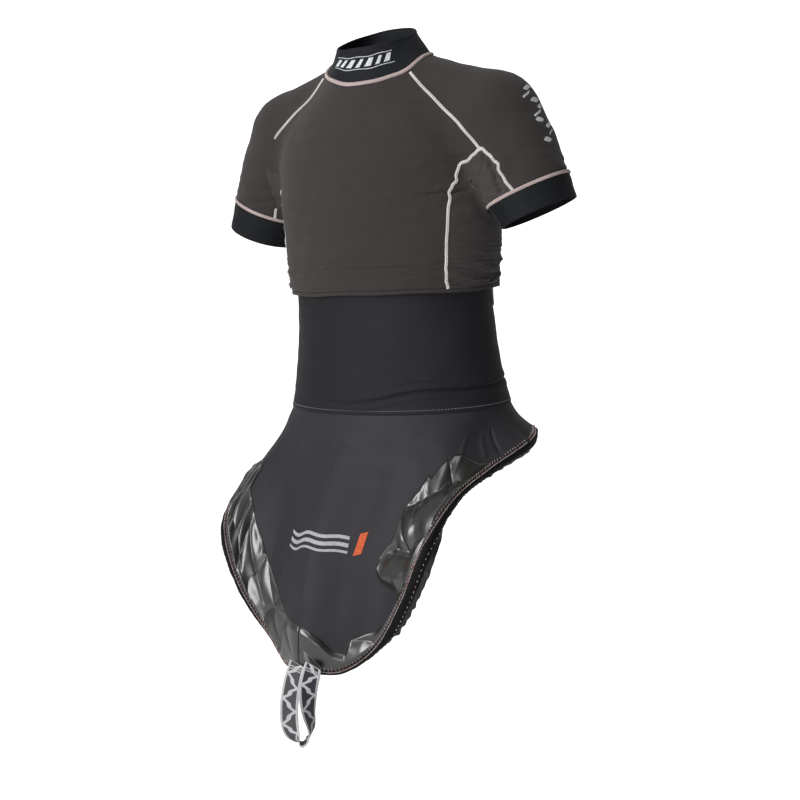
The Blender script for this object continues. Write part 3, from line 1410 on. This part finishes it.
# angle of the station at the waist, then x, y, z of the edge
DECK_EDGE = array([
    [0, 0, -258, -314], [14, 44, -236, -321], [28, 90, -216, -288], [42, 136, -216, -221],
    [55, 165, -201, -149], [67, 177, -146, -99], [78, 187, -72, -72], [90, 207, 0, -46],
    [106, 190, 48, -37], [122, 162, 98, -47], [140, 124, 146, -70], [160, 68, 176, -104],
    [180, 0, 186, -124],
], float)


def edge_row(index):
    """angle and edge point of a whole station, the wearer's right mirrored from the left"""
    local = index % STATIONS
    right = local > 12
    row = DECK_EDGE[np.where(right, STATIONS - local, local)].copy()
    row[..., 0] = np.where(right, 360 - row[..., 0], row[..., 0])
    row[..., 0] += 360 * np.floor_divide(index, STATIONS)
    row[..., 1] = np.where(right, -row[..., 1], row[..., 1])
    return row


def deck_point(station, share):
    station, share = np.broadcast_arrays(
        np.asarray(station, float), np.asarray(share, float)
    )
    index = np.floor(station).astype(int)
    rows = (edge_row(index + i) for i in (-1, 0, 1, 2))
    row = catmull(*rows, (station - index)[..., None])
    turn, edge = radians(row[..., 0]), row[..., 1:]
    waist = stack([WAIST[0] * sin(turn), -WAIST[1] * cos(turn), 0 * turn], -1)
    out = ellipse_normal(row[..., 0], *WAIST)
    span = edge - waist
    length = np.linalg.norm(span, axis=-1, keepdims=True)
    down = span / length
    normal = unit(out - (out * down).sum(-1, keepdims=True) * down)
    # how far the place is to the front, the back and the sides
    front = np.maximum(0, cos(turn))[..., None]
    back = np.maximum(0, -cos(turn))[..., None]
    beside = np.maximum(0, 1 - front - back)
    handle_1 = waist + span / 3 + normal * length * (0.03 * front - 0.24 * beside)
    bulge = 0.13 * front - 0.14 * beside + 0.05 * back
    handle_2 = waist + span * 2 / 3 + normal * length * bulge
    share = share[..., None]
    rest = 1 - share
    return (
        waist * rest**3 + 3 * handle_1 * share * rest**2
        + 3 * handle_2 * share**2 * rest + edge * share**3
    )


def deck_axes(station, share):
    """unit vectors along the edge, down the cloth and outward"""
    step = 0.002
    along = unit(deck_point(station + step, share) - deck_point(station - step, share))
    down = deck_point(station, share + step) - deck_point(station, share - step)
    down = unit(down - (down * along).sum(-1, keepdims=True) * along)
    return along, down, np.cross(down, along)


# tables of the distance along the edge, and of the cloth length down from the waist
station_table = linspace(-8, 18, 1301)
station_step = station_table[1] - station_table[0]
arc_table = arc_length(deck_point(station_table, 1.0))
arc_table = arc_table - interp(0, station_table, arc_table)
share_table = linspace(0, 1, 121)
table_points = deck_point(station_table[:, None], share_table[None])
length_table = np.cumsum(np.linalg.norm(np.diff(table_points, axis=1), axis=2), 1)
length_table = np.concatenate([np.zeros((len(station_table), 1)), length_table], 1)


def arc_at(station):
    return interp(station, station_table, arc_table)


def station_at(arc):
    return interp(arc, arc_table, station_table)


def table_row(station):
    place = (np.asarray(station) - station_table[0]) / station_step
    row = np.clip(np.floor(place).astype(int), 0, len(station_table) - 2)
    return row, place - row


def edge_distance(station, share):
    """cloth distance from the edge"""
    row, down = table_row(station)
    place = np.clip(np.asarray(share), 0, 1) * (len(share_table) - 1)
    col = np.clip(np.floor(place).astype(int), 0, len(share_table) - 2)
    length = bilinear(length_table, row, col, col + 1, down, place - col)
    total = length_table[row, -1] * (1 - down) + length_table[row + 1, -1] * down
    return total - length


def share_at(station, distance):
    """share at which the cloth is this far from the edge"""
    station, distance = np.broadcast_arrays(station, distance)
    share = np.zeros(station.shape)
    for value in np.unique(station):
        row, down = table_row(value)
        lengths = length_table[row] * (1 - down) + length_table[row + 1] * down
        here = station == value
        share[here] = interp(lengths[-1] - distance[here], lengths, share_table)
    return share


# Borders of the rubber: station, distance from the edge. RUBBER_HIP_LOW is the border of the
# hip piece that lies nearest the edge; the other pieces reach down to the edge.
RUBBER_RIGHT = [
    [-5.6, 2], [-5.2, 22], [-4.75, 58], [-4.3, 84], [-4.0, 95], [-3.86, 70], [-3.28, 83],
    [-2.54, 88], [-1.54, 78], [-1.12, 73], [-0.5, 60], [-0.06, 52], [0.02, 51],
]
RUBBER_BOW = [
    [-0.02, 51], [0.3, 46], [0.54, 40], [0.86, 26], [1.18, 17], [1.32, 33],
    [1.7, 28], [2.0, 20], [2.3, 13], [2.9, 6],
]
RUBBER_HIP = [
    [1.86, 112], [1.95, 120], [2.2, 124], [2.46, 132], [2.54, 150], [3.0, 144], [3.52, 134],
    [3.7, 118], [4.0, 112], [4.46, 102], [4.8, 84], [5.3, 50], [5.8, 16], [6.1, 3],
]
RUBBER_HIP_LOW = [
    [1.86, 100], [2.0, 84], [2.5, 44], [2.86, 6], [2.95, 0.2], [6.2, 0.2]
]
RUBBER_START, RUBBER_END = -5.58, 6.08  # stations
# single creases: distance along and from the edge at both ends, depth, reach of the slopes
RUBBER_CREASES = [
    (298, 118, 346, 22, 4.5, 9.0), (150, 140, 206, 30, 4.0, 7.0), (112, 126, 212, 38, 3.5, 8.0),
    (205, 92, 250, 45, 2.4, 6.0), (236, 112, 262, 74, 1.6, 5.0), (-292, 70, -262, 8, 3.0, 7.0),
    (-232, 34, -190, 12, 2.6, 6.0), (-205, 66, -120, 28, 3.4, 8.0),
    (-120, 80, -66, 18, 3.2, 8.0), (-60, 62, -14, 14, 2.8, 7.0),
]
# deck creases: station and distance from the edge at both ends, half width, height
DECK_CREASES = [
    (6.30, 50, 6.34, 2, 3.0, -3.4), (5.9, 56, 6.0, 12, 6.0, 1.6), (5.2, 92, 5.0, 40, 9.0, 1.3),
    (-6.2, 60, -6.3, 8, 4.5, -2.0), (-5.6, 70, -5.4, 20, 7.0, 1.2),
    (3.05, 168, 3.4, 130, 10.0, 1.0), (9.0, 60, 8.7, 10, 5.0, -1.6),
    (15.0, 60, 15.3, 10, 5.0, -1.6),
]
bend_waves, drift_waves = Waves(51, 42, dims=2), Waves(57, 90, dims=2)
broad_sag, small_sag = Waves(61, 130), Waves(63, 40)
LOBES = np.random.RandomState(19).rand(64)  # sizes of the lobes, in turn


def rubber_folds(station, distance):
    """puffed lobes of the rubber film between sharp creases, mm outward; on the wearer's
    left the creases run on the slant, from the inner border down to the edge"""
    station, distance = np.broadcast_arrays(station, distance)
    arc = arc_at(station)
    flat = stack([arc, distance], -1)
    left = station > 0
    drift, bend = drift_waves(flat), bend_waves(flat)
    along = np.where(
        left,
        (0.55 * arc + 0.84 * distance + 3.5 * drift + 0.9 * bend - 213) / 49 + 40,
        (arc - 0.42 * distance + 12 * drift + 1.0 * bend) / 50 + 40.35,
    )
    across = np.where(left, 0.84 * arc - 0.55 * distance, distance)
    index = np.floor(along).astype(int)
    place = along - index
    size = LOBES[index % 64]
    peak = 0.32 + 0.36 * LOBES[(index + 7) % 64]
    phase = np.where(place < peak, place / (2 * peak), 0.5 + (place - peak) / (2 * (1 - peak)))
    lobe = sin(pi * phase) ** 0.85 * (0.76 + 0.24 * sin(across / 33 + 6 * size))
    height = np.where(left, 8.6 + 3.4 * size, 4.2 + 3.6 * size) * lobe
    for arc_0, low, arc_1, high, depth, reach in RUBBER_CREASES:
        start, end = array([arc_0, low], float), array([arc_1, high], float)
        _, share, nearest = segment_distance(flat, start, end)
        gap = np.linalg.norm(flat - nearest, axis=-1)
        height = height - depth * exp(-gap / reach) * (1 - np.abs(2 * share - 1) ** 6 * 0.5)
    # level beside the middle of the front
    clear = ease(np.abs(arc), -4, 26)
    return height * clear + 4.5 * (1 - clear)


def rubber_mask(station, distance):
    """1 well inside the rubber, 0 outside"""
    mask = 0.0
    for high, low in ((RUBBER_RIGHT, None), (RUBBER_BOW, None), (RUBBER_HIP, RUBBER_HIP_LOW)):
        part = ease(lookup(station, high) - distance, -2, 9)
        if low:
            part = part * ease(distance - lookup(station, low), -2, 9)
        else:
            part = part * ease(distance + 5.0, -2, 9) ** 0
        mask = np.maximum(mask, part * (station >= high[0][0]) * (station <= high[-1][0]))
    return mask * ease(distance, 0.0, 7.0)


def deck_waves(station, share):
    points = deck_point(station, share)
    distance = edge_distance(station, share)
    fade = ease(share, 0.0, 0.12) * ease(distance, 0.0, 18)
    height = fade * (1.3 * broad_sag(points) + 0.35 * small_sag(points))
    flat = stack(np.broadcast_arrays(arc_at(station), distance), -1)
    # one sharp drag crease near the wearer's left hip and softer ones elsewhere
    for station_0, low, station_1, high, width, rise in DECK_CREASES:
        start, end = array([arc_at(station_0), low]), array([arc_at(station_1), high])
        _, along, nearest = segment_distance(flat, start, end)
        gap = np.linalg.norm(flat - nearest, axis=-1)
        ends = np.clip(1.1 - np.abs(2 * along - 1) ** 3, 0, 1)
        height = height + rise * bell(gap, width) * ends * ease(distance, 0, 6)
    return height


def deck_height(station, share, distance):
    """the deck's own waves and the folds under the rubber"""
    folds = rubber_mask(station, distance) * (rubber_folds(station, distance) - 1.5)
    return deck_waves(station, share) + folds


def deck_normal(station, share):
    return deck_axes(station, np.clip(share, 0.01, 0.995))[2]


def deck_at(station, share):
    """finished deck surface: points and normals"""
    station, share = np.broadcast_arrays(station, share)
    normals = deck_normal(station, share)
    height = deck_height(station, share, edge_distance(station, share))
    return deck_point(station, share) + normals * height[..., None], normals


def edge_stations(start, end, step, snap_end=True):
    """stations at even distances along the edge"""
    stations = station_at(arange(arc_at(start), arc_at(end), step))
    if snap_end:
        stations[-1] = end
    return stations


FRONT = ("root", "deck_front", (0, -0.075, -0.075), (0, -0.20, -0.25))
REAR = ("root", "deck_rear", (0, 0.05, -0.02), (0, 0.16, -0.115))
SPLIT = 7.0  # station of the left hip, where front and rear meet
EDGE_GAP = 0.003  # stations left free on each side of the split
PANEL_LAP = 0.008  # stations by which the panels' common border lies behind the split


def deck_panel(name, start, end, piece, mat, motion, step, rows):
    stations = edge_stations(start, end, step)
    shares = np.r_[0.006, linspace(0.02, 0.996, rows)]
    share, station = np.meshgrid(shares, stations, indexing="ij")
    points, normals = deck_at(station, share)
    # the upper edge is tucked under the waist tape
    top = deck_point(stations, 0)
    out = unit(top * array([1, 1.8, 0]))
    tuck = [top - out * 0.9 + UP * 4.0, top - out * 0.5 + UP * 0.6]
    # the cut edge runs on into the folded binding
    down, last = deck_axes(stations, 0.995)[1], normals[-1]
    edge = deck_point(stations, 1.0)
    hidden = [edge + down * 0.4 - last * 0.1, edge + down * 3.0 - last * 1.3]
    points = np.concatenate([tuck, points, hidden])
    normals = np.concatenate([[out, out], normals, [last, last]])
    register(sheet(name, points, normals, 2.5, mat), motion, piece)


# the two panels are sewn edge to edge at the hips, so their cloth meets there
deck_panel(
    "deck_front_neoprene", -SPLIT - PANEL_LAP, SPLIT + PANEL_LAP,
    "deck_front_panel", DECK_MAT, FRONT, step=3.0, rows=110,
)
deck_panel(
    "deck_rear_neoprene", SPLIT + PANEL_LAP, STATIONS - SPLIT - PANEL_LAP,
    "deck_rear_panel", DECK_REAR_MAT, REAR, step=4.0, rows=60,
)


def rubber_skin(name, high_border, low_border, start, end, rows=64):
    stations = edge_stations(start, end, 1.6, snap_end=False)
    high = lookup(stations, high_border)
    low = lookup(stations, low_border) if low_border else np.full(len(stations), 0.2)
    low = np.minimum(low, high - 0.6)
    up = linspace(0, 1, rows)[:, None]
    distance = low + (high - low) * up
    station = np.broadcast_to(stations, distance.shape)
    share = share_at(station, distance)
    normals = deck_normal(station, share)
    rim = ease(np.minimum(up, 1 - up) * (high - low), 0, 1.6)
    height = deck_height(station, share, distance) + 0.35 + 0.85 * rim
    points = deck_point(station, share) + normals * height[..., None]
    return sheet(name, points[::-1], normals[::-1], 0.9, GLOSS_RUBBER)


skin = rubber_skin("rubber_right_skin", RUBBER_RIGHT, None, RUBBER_START, 0.0)
register(skin, FRONT, "rubber_band_right")
skins = [
    rubber_skin("rb_bow", RUBBER_BOW, None, 0.0, 2.88, rows=30),
    rubber_skin("rb_hip", RUBBER_HIP, RUBBER_HIP_LOW, 1.87, RUBBER_END, rows=80),
]
register(join("rubber_left_skin", skins), FRONT, "rubber_band_left")

# ------------------------------------------------------------------ deck edge
ROLL_A, ROLL_B = 4.2, 7.6  # half sizes of the rolled binding, along the deck and across it
# name, motion, first and last station
HALVES = (
    ("front", FRONT, -SPLIT + EDGE_GAP, SPLIT - EDGE_GAP),
    ("rear", REAR, SPLIT + EDGE_GAP, STATIONS - SPLIT - EDGE_GAP),
)


def roll_point(station, angle, scale=1):
    """point on the rolled binding, or its centre line for scale 0, and the normal"""
    station, turn = np.broadcast_arrays(np.asarray(station, float), radians(angle))
    _, down, out = deck_axes(station, 1.0)
    along = 0.4 + ROLL_A + scale * ROLL_A * cos(turn)
    inward = ROLL_B - 0.3 + scale * ROLL_B * sin(turn)
    points = deck_point(station, 1.0) + down * along[..., None] - out * inward[..., None]
    normals = down * (cos(turn) / ROLL_A)[..., None] - out * (sin(turn) / ROLL_B)[..., None]
    return points, unit(normals)


edge_ripple = Waves(71, 16)
broad_ripple = Waves(73, 60)


def binding(end_name, motion, start, end):
    stations = edge_stations(start, end, 1.6)
    station, angle = np.meshgrid(stations, arange(0, 360, 10.0), indexing="ij")
    points, normals = roll_point(station, angle)
    pull = np.abs(sin(arc_at(station) * pi / 8.0)) ** 6 * bell(angle - 20, 40)
    height = 0.30 * edge_ripple(points) + 0.35 * broad_ripple(points) - 0.22 * pull
    height = height - 0.55 * bell((angle - 268 + 180) % 360 - 180, 14.0)
    points = points + normals * height[..., None]
    tape = sheet(f"binding_{end_name}_tape", points, normals, 1.0, BINDING_MAT, wrap=True)
    register(tape, motion, f"edge_binding_{end_name}")


def cord_path(stations):
    return roll_point(stations, 0, scale=0)[0], deck_axes(stations, 1.0)[2]


def shock_cord(end_name, motion, start, end):
    crimp_gap = (11.87, 12.13) if end_name == "rear" else ()
    stops = (start + 0.02, *crimp_gap, end - 0.02)
    paths = [
        cord_path(edge_stations(first, last, 3.0, snap_end=False))
        for first, last in zip(stops[::2], stops[1::2])
    ]
    run = threads(f"shock_cord_{end_name}_run", paths, 2.4, CORD_BRAID, sides=14)
    register(run, motion, f"shock_cord_{end_name}")


def crimp():
    """sleeve over the cord ends at the back, pinched in the middle"""
    radii = 2.55 - 0.35 * bell(arange(12) - 5.5, 1.2)
    path = cord_path(linspace(11.9, 12.1, 12))
    sleeve = threads("cord_crimp_sleeve", [path], radii, CRIMP_METAL, sides=18)
    register(sleeve, REAR, "cord_crimp")


def grip_lip(end_name, motion, start, end):
    """ruffled lip below the binding"""
    stations = edge_stations(start, end, 1.1)
    fall, station = np.meshgrid(linspace(-0.6, 7.4, 9), stations, indexing="ij")
    edge = deck_point(station, 1.0)
    _, down, out = deck_axes(station, 1.0)
    arc = arc_at(station)
    size = (0.55 + 0.45 * sin(arc / 23 + 2 * sin(arc / 61))) * 1.5
    ruffle = size * sin(arc / 2.9 + 1.7 * sin(arc / 31)) + 0.8 * edge_ripple(edge)
    along = 4.6 + ruffle * np.clip(fall / 7.0, 0, 1)
    inward = 2 * ROLL_B - 0.3 + fall * (1 + 0.08 * sin(arc / 9))
    points = edge + down * along[..., None] - out * inward[..., None]
    normals = facing(grid_normals(points, False), down)
    lip = sheet(f"grip_lip_{end_name}_ruffle", points, normals, 1.5, GRIP_RUBBER)
    register(lip, motion, f"grip_lip_{end_name}")


def edge_stitches(end_name, motion, start, end):
    """a running row on top of the roll, ticks from it that reach onto the cloth, and a row
    of dots on its outside"""
    first, last = arc_at(start) + 1, arc_at(end) - 1

    def roll_dashes(arcs, half_length, angle, heights):
        paths = []
        for arc in arcs:
            stations = station_at(arc + linspace(-half_length, half_length, len(heights)))
            points, normals = roll_point(stations, angle)
            paths.append((points + normals * array(heights)[:, None], normals))
        return paths

    rows = roll_dashes(
        arange(first + 2, last - 2, 5.0), 2.1, 256.0, [-0.3, 0.3, 0.5, 0.5, 0.3, -0.3]
    )
    ticks = []
    for i, arc in enumerate(arange(first + 4, last - 4, 5.0)):
        reach = 1.6 + 2.4 * LOBES[(3 * i) % 64]
        station = station_at(arc + 0.8 * (LOBES[(i + 5) % 64] - 0.5) + np.zeros(4))
        over_rubber = 0.8 if RUBBER_START < station[0] < RUBBER_END else 0.0
        on_roll, roll_out = roll_point(station, array([262.0, 246, 230, 214]))
        on_roll = on_roll + roll_out * array([-0.1, 0.45, 0.6, 0.75])[:, None]
        deck_out = deck_axes(station, 0.995)[2]
        lift = array([0.9, 1.0, 0.9, -0.1]) + over_rubber * array([0.2, 0.6, 1, 1])
        on_deck = deck_at(station, share_at(station, reach * array([0.1, 0.4, 0.75, 1.0])))[0]
        on_deck = on_deck + deck_out * lift[:, None]
        ticks.append((np.concatenate([on_roll, on_deck]), np.concatenate([roll_out, deck_out])))
    dots = roll_dashes(arange(first + 3, last - 3, 7.6), 1.1, 12.0, [-0.1, 0.4, 0.55, 0.4, -0.1])
    name = f"edge_stitch_{end_name}_rows"
    rows = threads(name + "_row", rows, 0.34, EDGE_THREAD)
    ticks = threads(name + "_ticks", ticks, 0.30, EDGE_THREAD)
    dots = threads(name + "_dots", dots, 0.38, DOT_THREAD, sides=6)
    stitches = join(name, [rows, dots, ticks])
    register(stitches, motion, f"edge_stitches_{end_name}")


for half in HALVES:
    binding(*half)
for half in HALVES:
    shock_cord(*half)
crimp()
for half in HALVES:
    grip_lip(*half)
for half in HALVES:
    edge_stitches(*half)

# ------------------------------------------------------------------ waist seam
# tape profile: outward offset, height
WAIST_PROFILE = [
    (-0.4, 8.6), (0.3, 8.4), (1.0, 7.2), (1.3, 5.6), (1.25, 4.6), (0.9, 4.0),
    (1.35, 3.4), (1.7, 2.4), (1.8, 1.0), (1.5, -0.4), (0.6, -1.4), (-0.4, -1.6),
]
WAIST_LEAN = 0.28  # inward per mm of height, following the tube
turn = radians(ring_angles)
waist_out = ellipse_normal(ring_angles, *WAIST)
waist_line = stack([WAIST[0] * sin(turn), -WAIST[1] * cos(turn), 0 * turn], -1)
waist_ripple = Waves(81, 24)
rows = []
for out, z in WAIST_PROFILE:
    offset = out + 0.16 * waist_ripple(waist_line + UP * z * 3) - max(0, z) * WAIST_LEAN
    rows.append(waist_line + waist_out * offset[:, None] + UP * z)
turned_band("waist_seam_tape", rows, waist_out, 4, TUBE_MAT, "waist_seam")
STITCH_HEIGHT = 4.0
line = waist_line + waist_out * (1.0 - STITCH_HEIGHT * WAIST_LEAN + 0.15) + UP * STITCH_HEIGHT
stitches = dashes(line, waist_out, 4.4, 3.0, closed=True, lift=0.3)
stitches = threads("waist_stitch_thread", stitches, 0.34, WAIST_THREAD, sides=6)
register(stitches, "root", "waist_stitches")

# ------------------------------------------------------------------ grab loop
LOOP_ROOT = deck_point(0.2, 1.0) + array([0, -4.0, 3.0])
LOOP_HALF_WIDTH = 12.5
LOOP_DROP = 108
# x, y, height as a share of the drop, twist in degrees
LOOP_LINE = [
    [-12.8, 0, 0, 0], [-23, -3, -0.3, -14], [-28, -5, -0.6, -22], [-26, -5, -0.86, -12],
    [-12, 0, -1, 35], [0, 4, -0.86, 66], [-4, 6, -0.6, 98], [0, 4, -0.3, 136], [12.8, 1, 0, 180],
]


def loop_point(place):
    return LOOP_ROOT + spline_at(LOOP_LINE, place)[..., :3] * array([1, 1, LOOP_DROP])


loop_places = linspace(0, 8, 161)
middle = loop_point(loop_places)
loop_ahead = unit(
    loop_point(np.minimum(8, loop_places + 0.02)) - loop_point(np.maximum(0, loop_places - 0.02))
)
twist = radians(spline_at(LOOP_LINE, loop_places)[:, 3])
level = stack([cos(twist), -sin(twist), 0 * twist], -1)
loop_across = unit(level - (level * loop_ahead).sum(-1, keepdims=True) * loop_ahead)
loop_out = np.cross(loop_ahead, loop_across)


def grab_loop():
    """flat webbing with a groove beside each selvedge"""
    across = linspace(-1, 1, 21)
    selvedge = np.abs(across)
    height = 1.0 - 0.25 * bell(selvedge - 0.80, 0.03) - 0.35 * (selvedge > 0.99)
    flat = middle[:, None] + loop_across[:, None] * (across * LOOP_HALF_WIDTH)[:, None]
    rise = loop_out[:, None] * height[:, None]
    border = (loop_across * (LOOP_HALF_WIDTH + 0.25))[:, None]
    centre = middle[:, None]
    ring = np.concatenate([flat + rise, centre + border, (flat - rise)[:, ::-1],
                           centre - border], 1)
    count, sides = ring.shape[:2]
    index = index_grid(count, sides)
    girth = (across + 1) * LOOP_HALF_WIDTH
    girth = np.r_[girth, 2 * LOOP_HALF_WIDTH, girth[::-1], 0.0, 0.0]
    col = arange(len(across) - 1)
    opposite = sides - 2 - col
    caps = [
        stack([row[opposite], row[opposite - 1], row[col + 1], row[col]], -1)
        for row in (index[0], index[-1])
    ]
    faces = np.vstack([cells(index), *caps])
    body_uvs = cells(uv_grid(girth, arc_length(middle)))
    uvs = np.concatenate([body_uvs, np.zeros((2 * len(col), 4, 2))])
    loop = mesh("grab_loop_webbing", ring.reshape(-1, 3), faces, uvs, WEBBING)
    edit_faces(loop, bmesh.ops.recalc_face_normals)
    register(loop, "grab_loop", "grab_loop")


def bartacks():
    """two zigzag rows across each end of the loop, on both faces"""
    across = linspace(-1, 1, 61)
    zigzag = 1.1 * (2 * np.abs(2 * ((across * 7) % 1) - 1) - 1)
    paths = []
    for place in (0.18, 0.18 + 0.10, 7.82, 7.82 - 0.10):
        i = int(np.argmin(np.abs(loop_places - place)))
        row = loop_point(place) + loop_across[i] * (across * 10.5)[:, None]
        row = row + loop_ahead[i] * zigzag[:, None] + loop_out[i] * 1.25
        paths.append((row, loop_out[i]))
        paths.append((row - loop_out[i] * 2.5, -loop_out[i]))
    tacks = threads("loop_bartack_thread", paths, 0.34, TACK_THREAD)
    register(tacks, "grab_loop", "loop_bartacks")


def anchor_patch():
    """patch inside the deck behind the loop"""
    shares, stations = linspace(0.955, 0.992, 14), linspace(-0.55, 0.95, 60)
    share, station = np.meshgrid(shares, stations, indexing="ij")
    points, normals = deck_at(station, share)
    patch = sheet("loop_anchor_patch", points - normals * 3.1, normals, 1.1, GRIP_RUBBER)
    register(patch, FRONT, "loop_anchor")


grab_loop()
bartacks()
anchor_patch()

# ------------------------------------------------------------------ deck print
# three wavy lines, each from one share of the deck to another, and a slanted block
pieces = []
across, down = film_grid(120, 5)
station = -1.2 + (0.98 + 1.2) * across
for i, (start, end) in enumerate(((0.492, 0.506), (0.520, 0.536), (0.550, 0.560))):
    share = start + (end - start) * down + 0.006 * sin(across * 4 * pi)
    pieces.append(film(f"dp{i}", deck_at(station, share), 0.4, PRINT_GREY))
across, down = film_grid(12, 22)
station = 1.20 + (1.42 - 1.20) * across - 0.12 * (down - 0.5)
surface = deck_at(station, 0.487 + (0.572 - 0.487) * down)
pieces.append(film("dpo", surface, 0.4, PRINT_ORANGE))
register(join("deck_film", pieces), FRONT, "deck_print")

# ------------------------------------------------------------------ camera (metres)
CAMERA_TURN, CAMERA_RISE, CAMERA_ROLL = radians(35), radians(7.3), radians(3)
CAMERA_DISTANCE = 2.1
CAMERA_TARGET = array([0, 0, 0.002])
backward = array([
    sin(CAMERA_TURN) * cos(CAMERA_RISE), -cos(CAMERA_TURN) * cos(CAMERA_RISE), sin(CAMERA_RISE)
])
view_right = array([cos(CAMERA_TURN), sin(CAMERA_TURN), 0])
view_up = np.cross(backward, view_right)
camera_axes = [
    view_right * cos(CAMERA_ROLL) - view_up * sin(CAMERA_ROLL),
    view_up * cos(CAMERA_ROLL) + view_right * sin(CAMERA_ROLL),
    backward,
    CAMERA_TARGET + backward * CAMERA_DISTANCE,
]
camera_data = bpy.data.cameras.new("camera")
camera = link_object(bpy.data.objects.new("camera", camera_data))
camera.matrix_world = Matrix([*stack(camera_axes, -1).tolist(), [0, 0, 0, 1]])
camera_data.sensor_width = 36
camera_data.lens = 66.15
bpy.context.scene.camera = camera
bpy.context.scene.view_settings.view_transform = "Standard"

# ------------------------------------------------------------------ lights (metres)
toward = unit(backward * array([1, 1, 0]))  # level, from the object to the camera
view_left = -view_right


def area_light(name, location, target, size, power):
    data = bpy.data.lights.new(name, "AREA")
    data.energy = power
    data.color = (1, 1, 1)
    data.size = size
    light = link_object(bpy.data.objects.new(name, data))
    light.location = Vector(location)
    light.rotation_mode = "QUATERNION"
    aim = Vector(target) - Vector(location)
    light.rotation_quaternion = aim.to_track_quat("-Z", "Y")


area_light(
    "key", view_left * 1.9 + toward * 1.7 + UP * 1.15, target=(0, 0, 0), size=1.4, power=31.5
)
area_light(
    "top", toward * 0.7 + view_left * 0.2 + UP * 2.4, target=(0, 0, 0), size=1.8, power=11
)
area_light(
    "low_front", toward * 2.0 + view_left * 0.4 - UP * 0.15,
    target=(0, 0, -0.15), size=0.9, power=4.5,
)

# ------------------------------------------------------------------ floor
FLOOR_Z = min(cad_low.z * 1000, -430) - 14
FLOOR_BEND_START, FLOOR_BEND_RADIUS = 1500, 900
# distance behind the object, height: level, then turning up into a wall
FLOOR_PROFILE = (
    [(back, FLOOR_Z) for back in (-4000, -600, 600, FLOOR_BEND_START)]
    + [
        (FLOOR_BEND_START + FLOOR_BEND_RADIUS * sin(turn),
         FLOOR_Z + FLOOR_BEND_RADIUS * (1 - cos(turn)))
        for turn in linspace(0.1, pi / 2, 16)
    ]
    + [(FLOOR_BEND_START + FLOOR_BEND_RADIUS, 4200)]
)


def floor_material():
    """white to the camera; seen from underneath it is clear, so the deck's inside shows"""
    mat = Material("studio_floor", (0.86, 0.86, 0.86), 0.9, specular=0.1)
    mat.shade("Emission Color", (1, 1, 1))
    camera_ray = mat.node("ShaderNodeLightPath").outputs["Is Camera Ray"]
    mat.shade("Emission Strength", mat.times(camera_ray, 1.0))
    geometry = mat.node("ShaderNodeNewGeometry")
    clear = mat.node("ShaderNodeBsdfTransparent")
    mixer = mat.node("ShaderNodeMixShader")
    mat.feed(mixer.inputs[0], mat.times(camera_ray, geometry.outputs["Backfacing"]))
    mat.feed(mixer.inputs[1], mat.shader.outputs[0])
    mat.feed(mixer.inputs[2], clear.outputs[0])
    mat.feed(mat.tree.nodes["Material Output"].inputs["Surface"], mixer.outputs[0])
    return mat.mat


floor_grid = array([
    [view_right * side - toward * back + UP * z for side in linspace(-6000, 6000, 9)]
    for back, z in FLOOR_PROFILE
])
floor_faces = cells(index_grid(*floor_grid.shape[:2], wrap=False))
mesh("studio_floor", floor_grid.reshape(-1, 3), floor_faces, None, floor_material())


# ------------------------------------------------------------------ world


def studio_world():
    """soft light, brighter from the camera's left; plain white to the camera"""
    world = bpy.data.worlds.new("studio")
    bpy.context.scene.world = world
    world.use_nodes = True
    nodes = Nodes(world.node_tree)
    light = world.node_tree.nodes["Background"]
    light.inputs["Strength"].default_value = 0.30
    coords = nodes.node("ShaderNodeTexCoord")
    facing_light = nodes.node("ShaderNodeVectorMath", operation="DOT_PRODUCT")
    bright_side = unit(view_left * 0.9 + toward * 0.6 + UP * 0.35)
    facing_light.inputs[1].default_value = bright_side.tolist()
    nodes.feed(facing_light.inputs[0], coords.outputs["Generated"])
    level = nodes.node("ShaderNodeMapRange")
    nodes.feed(level.inputs[0], facing_light.outputs["Value"])
    # from -0.7..1 toward the bright side to a brightness of 0.12..1
    for i, number in enumerate((-0.7, 1.0, 0.12, 1.0)):
        level.inputs[i + 1].default_value = number
    nodes.feed(light.inputs["Color"], level.outputs[0])
    white = nodes.node("ShaderNodeBackground")
    white.inputs["Color"].default_value = (1, 1, 1, 1)
    path = nodes.node("ShaderNodeLightPath")
    mixer = nodes.node("ShaderNodeMixShader")
    nodes.feed(mixer.inputs[0], path.outputs["Is Camera Ray"])
    nodes.feed(mixer.inputs[1], light.outputs[0])
    nodes.feed(mixer.inputs[2], white.outputs[0])
    nodes.feed(world.node_tree.nodes["World Output"].inputs["Surface"], mixer.outputs[0])


studio_world()
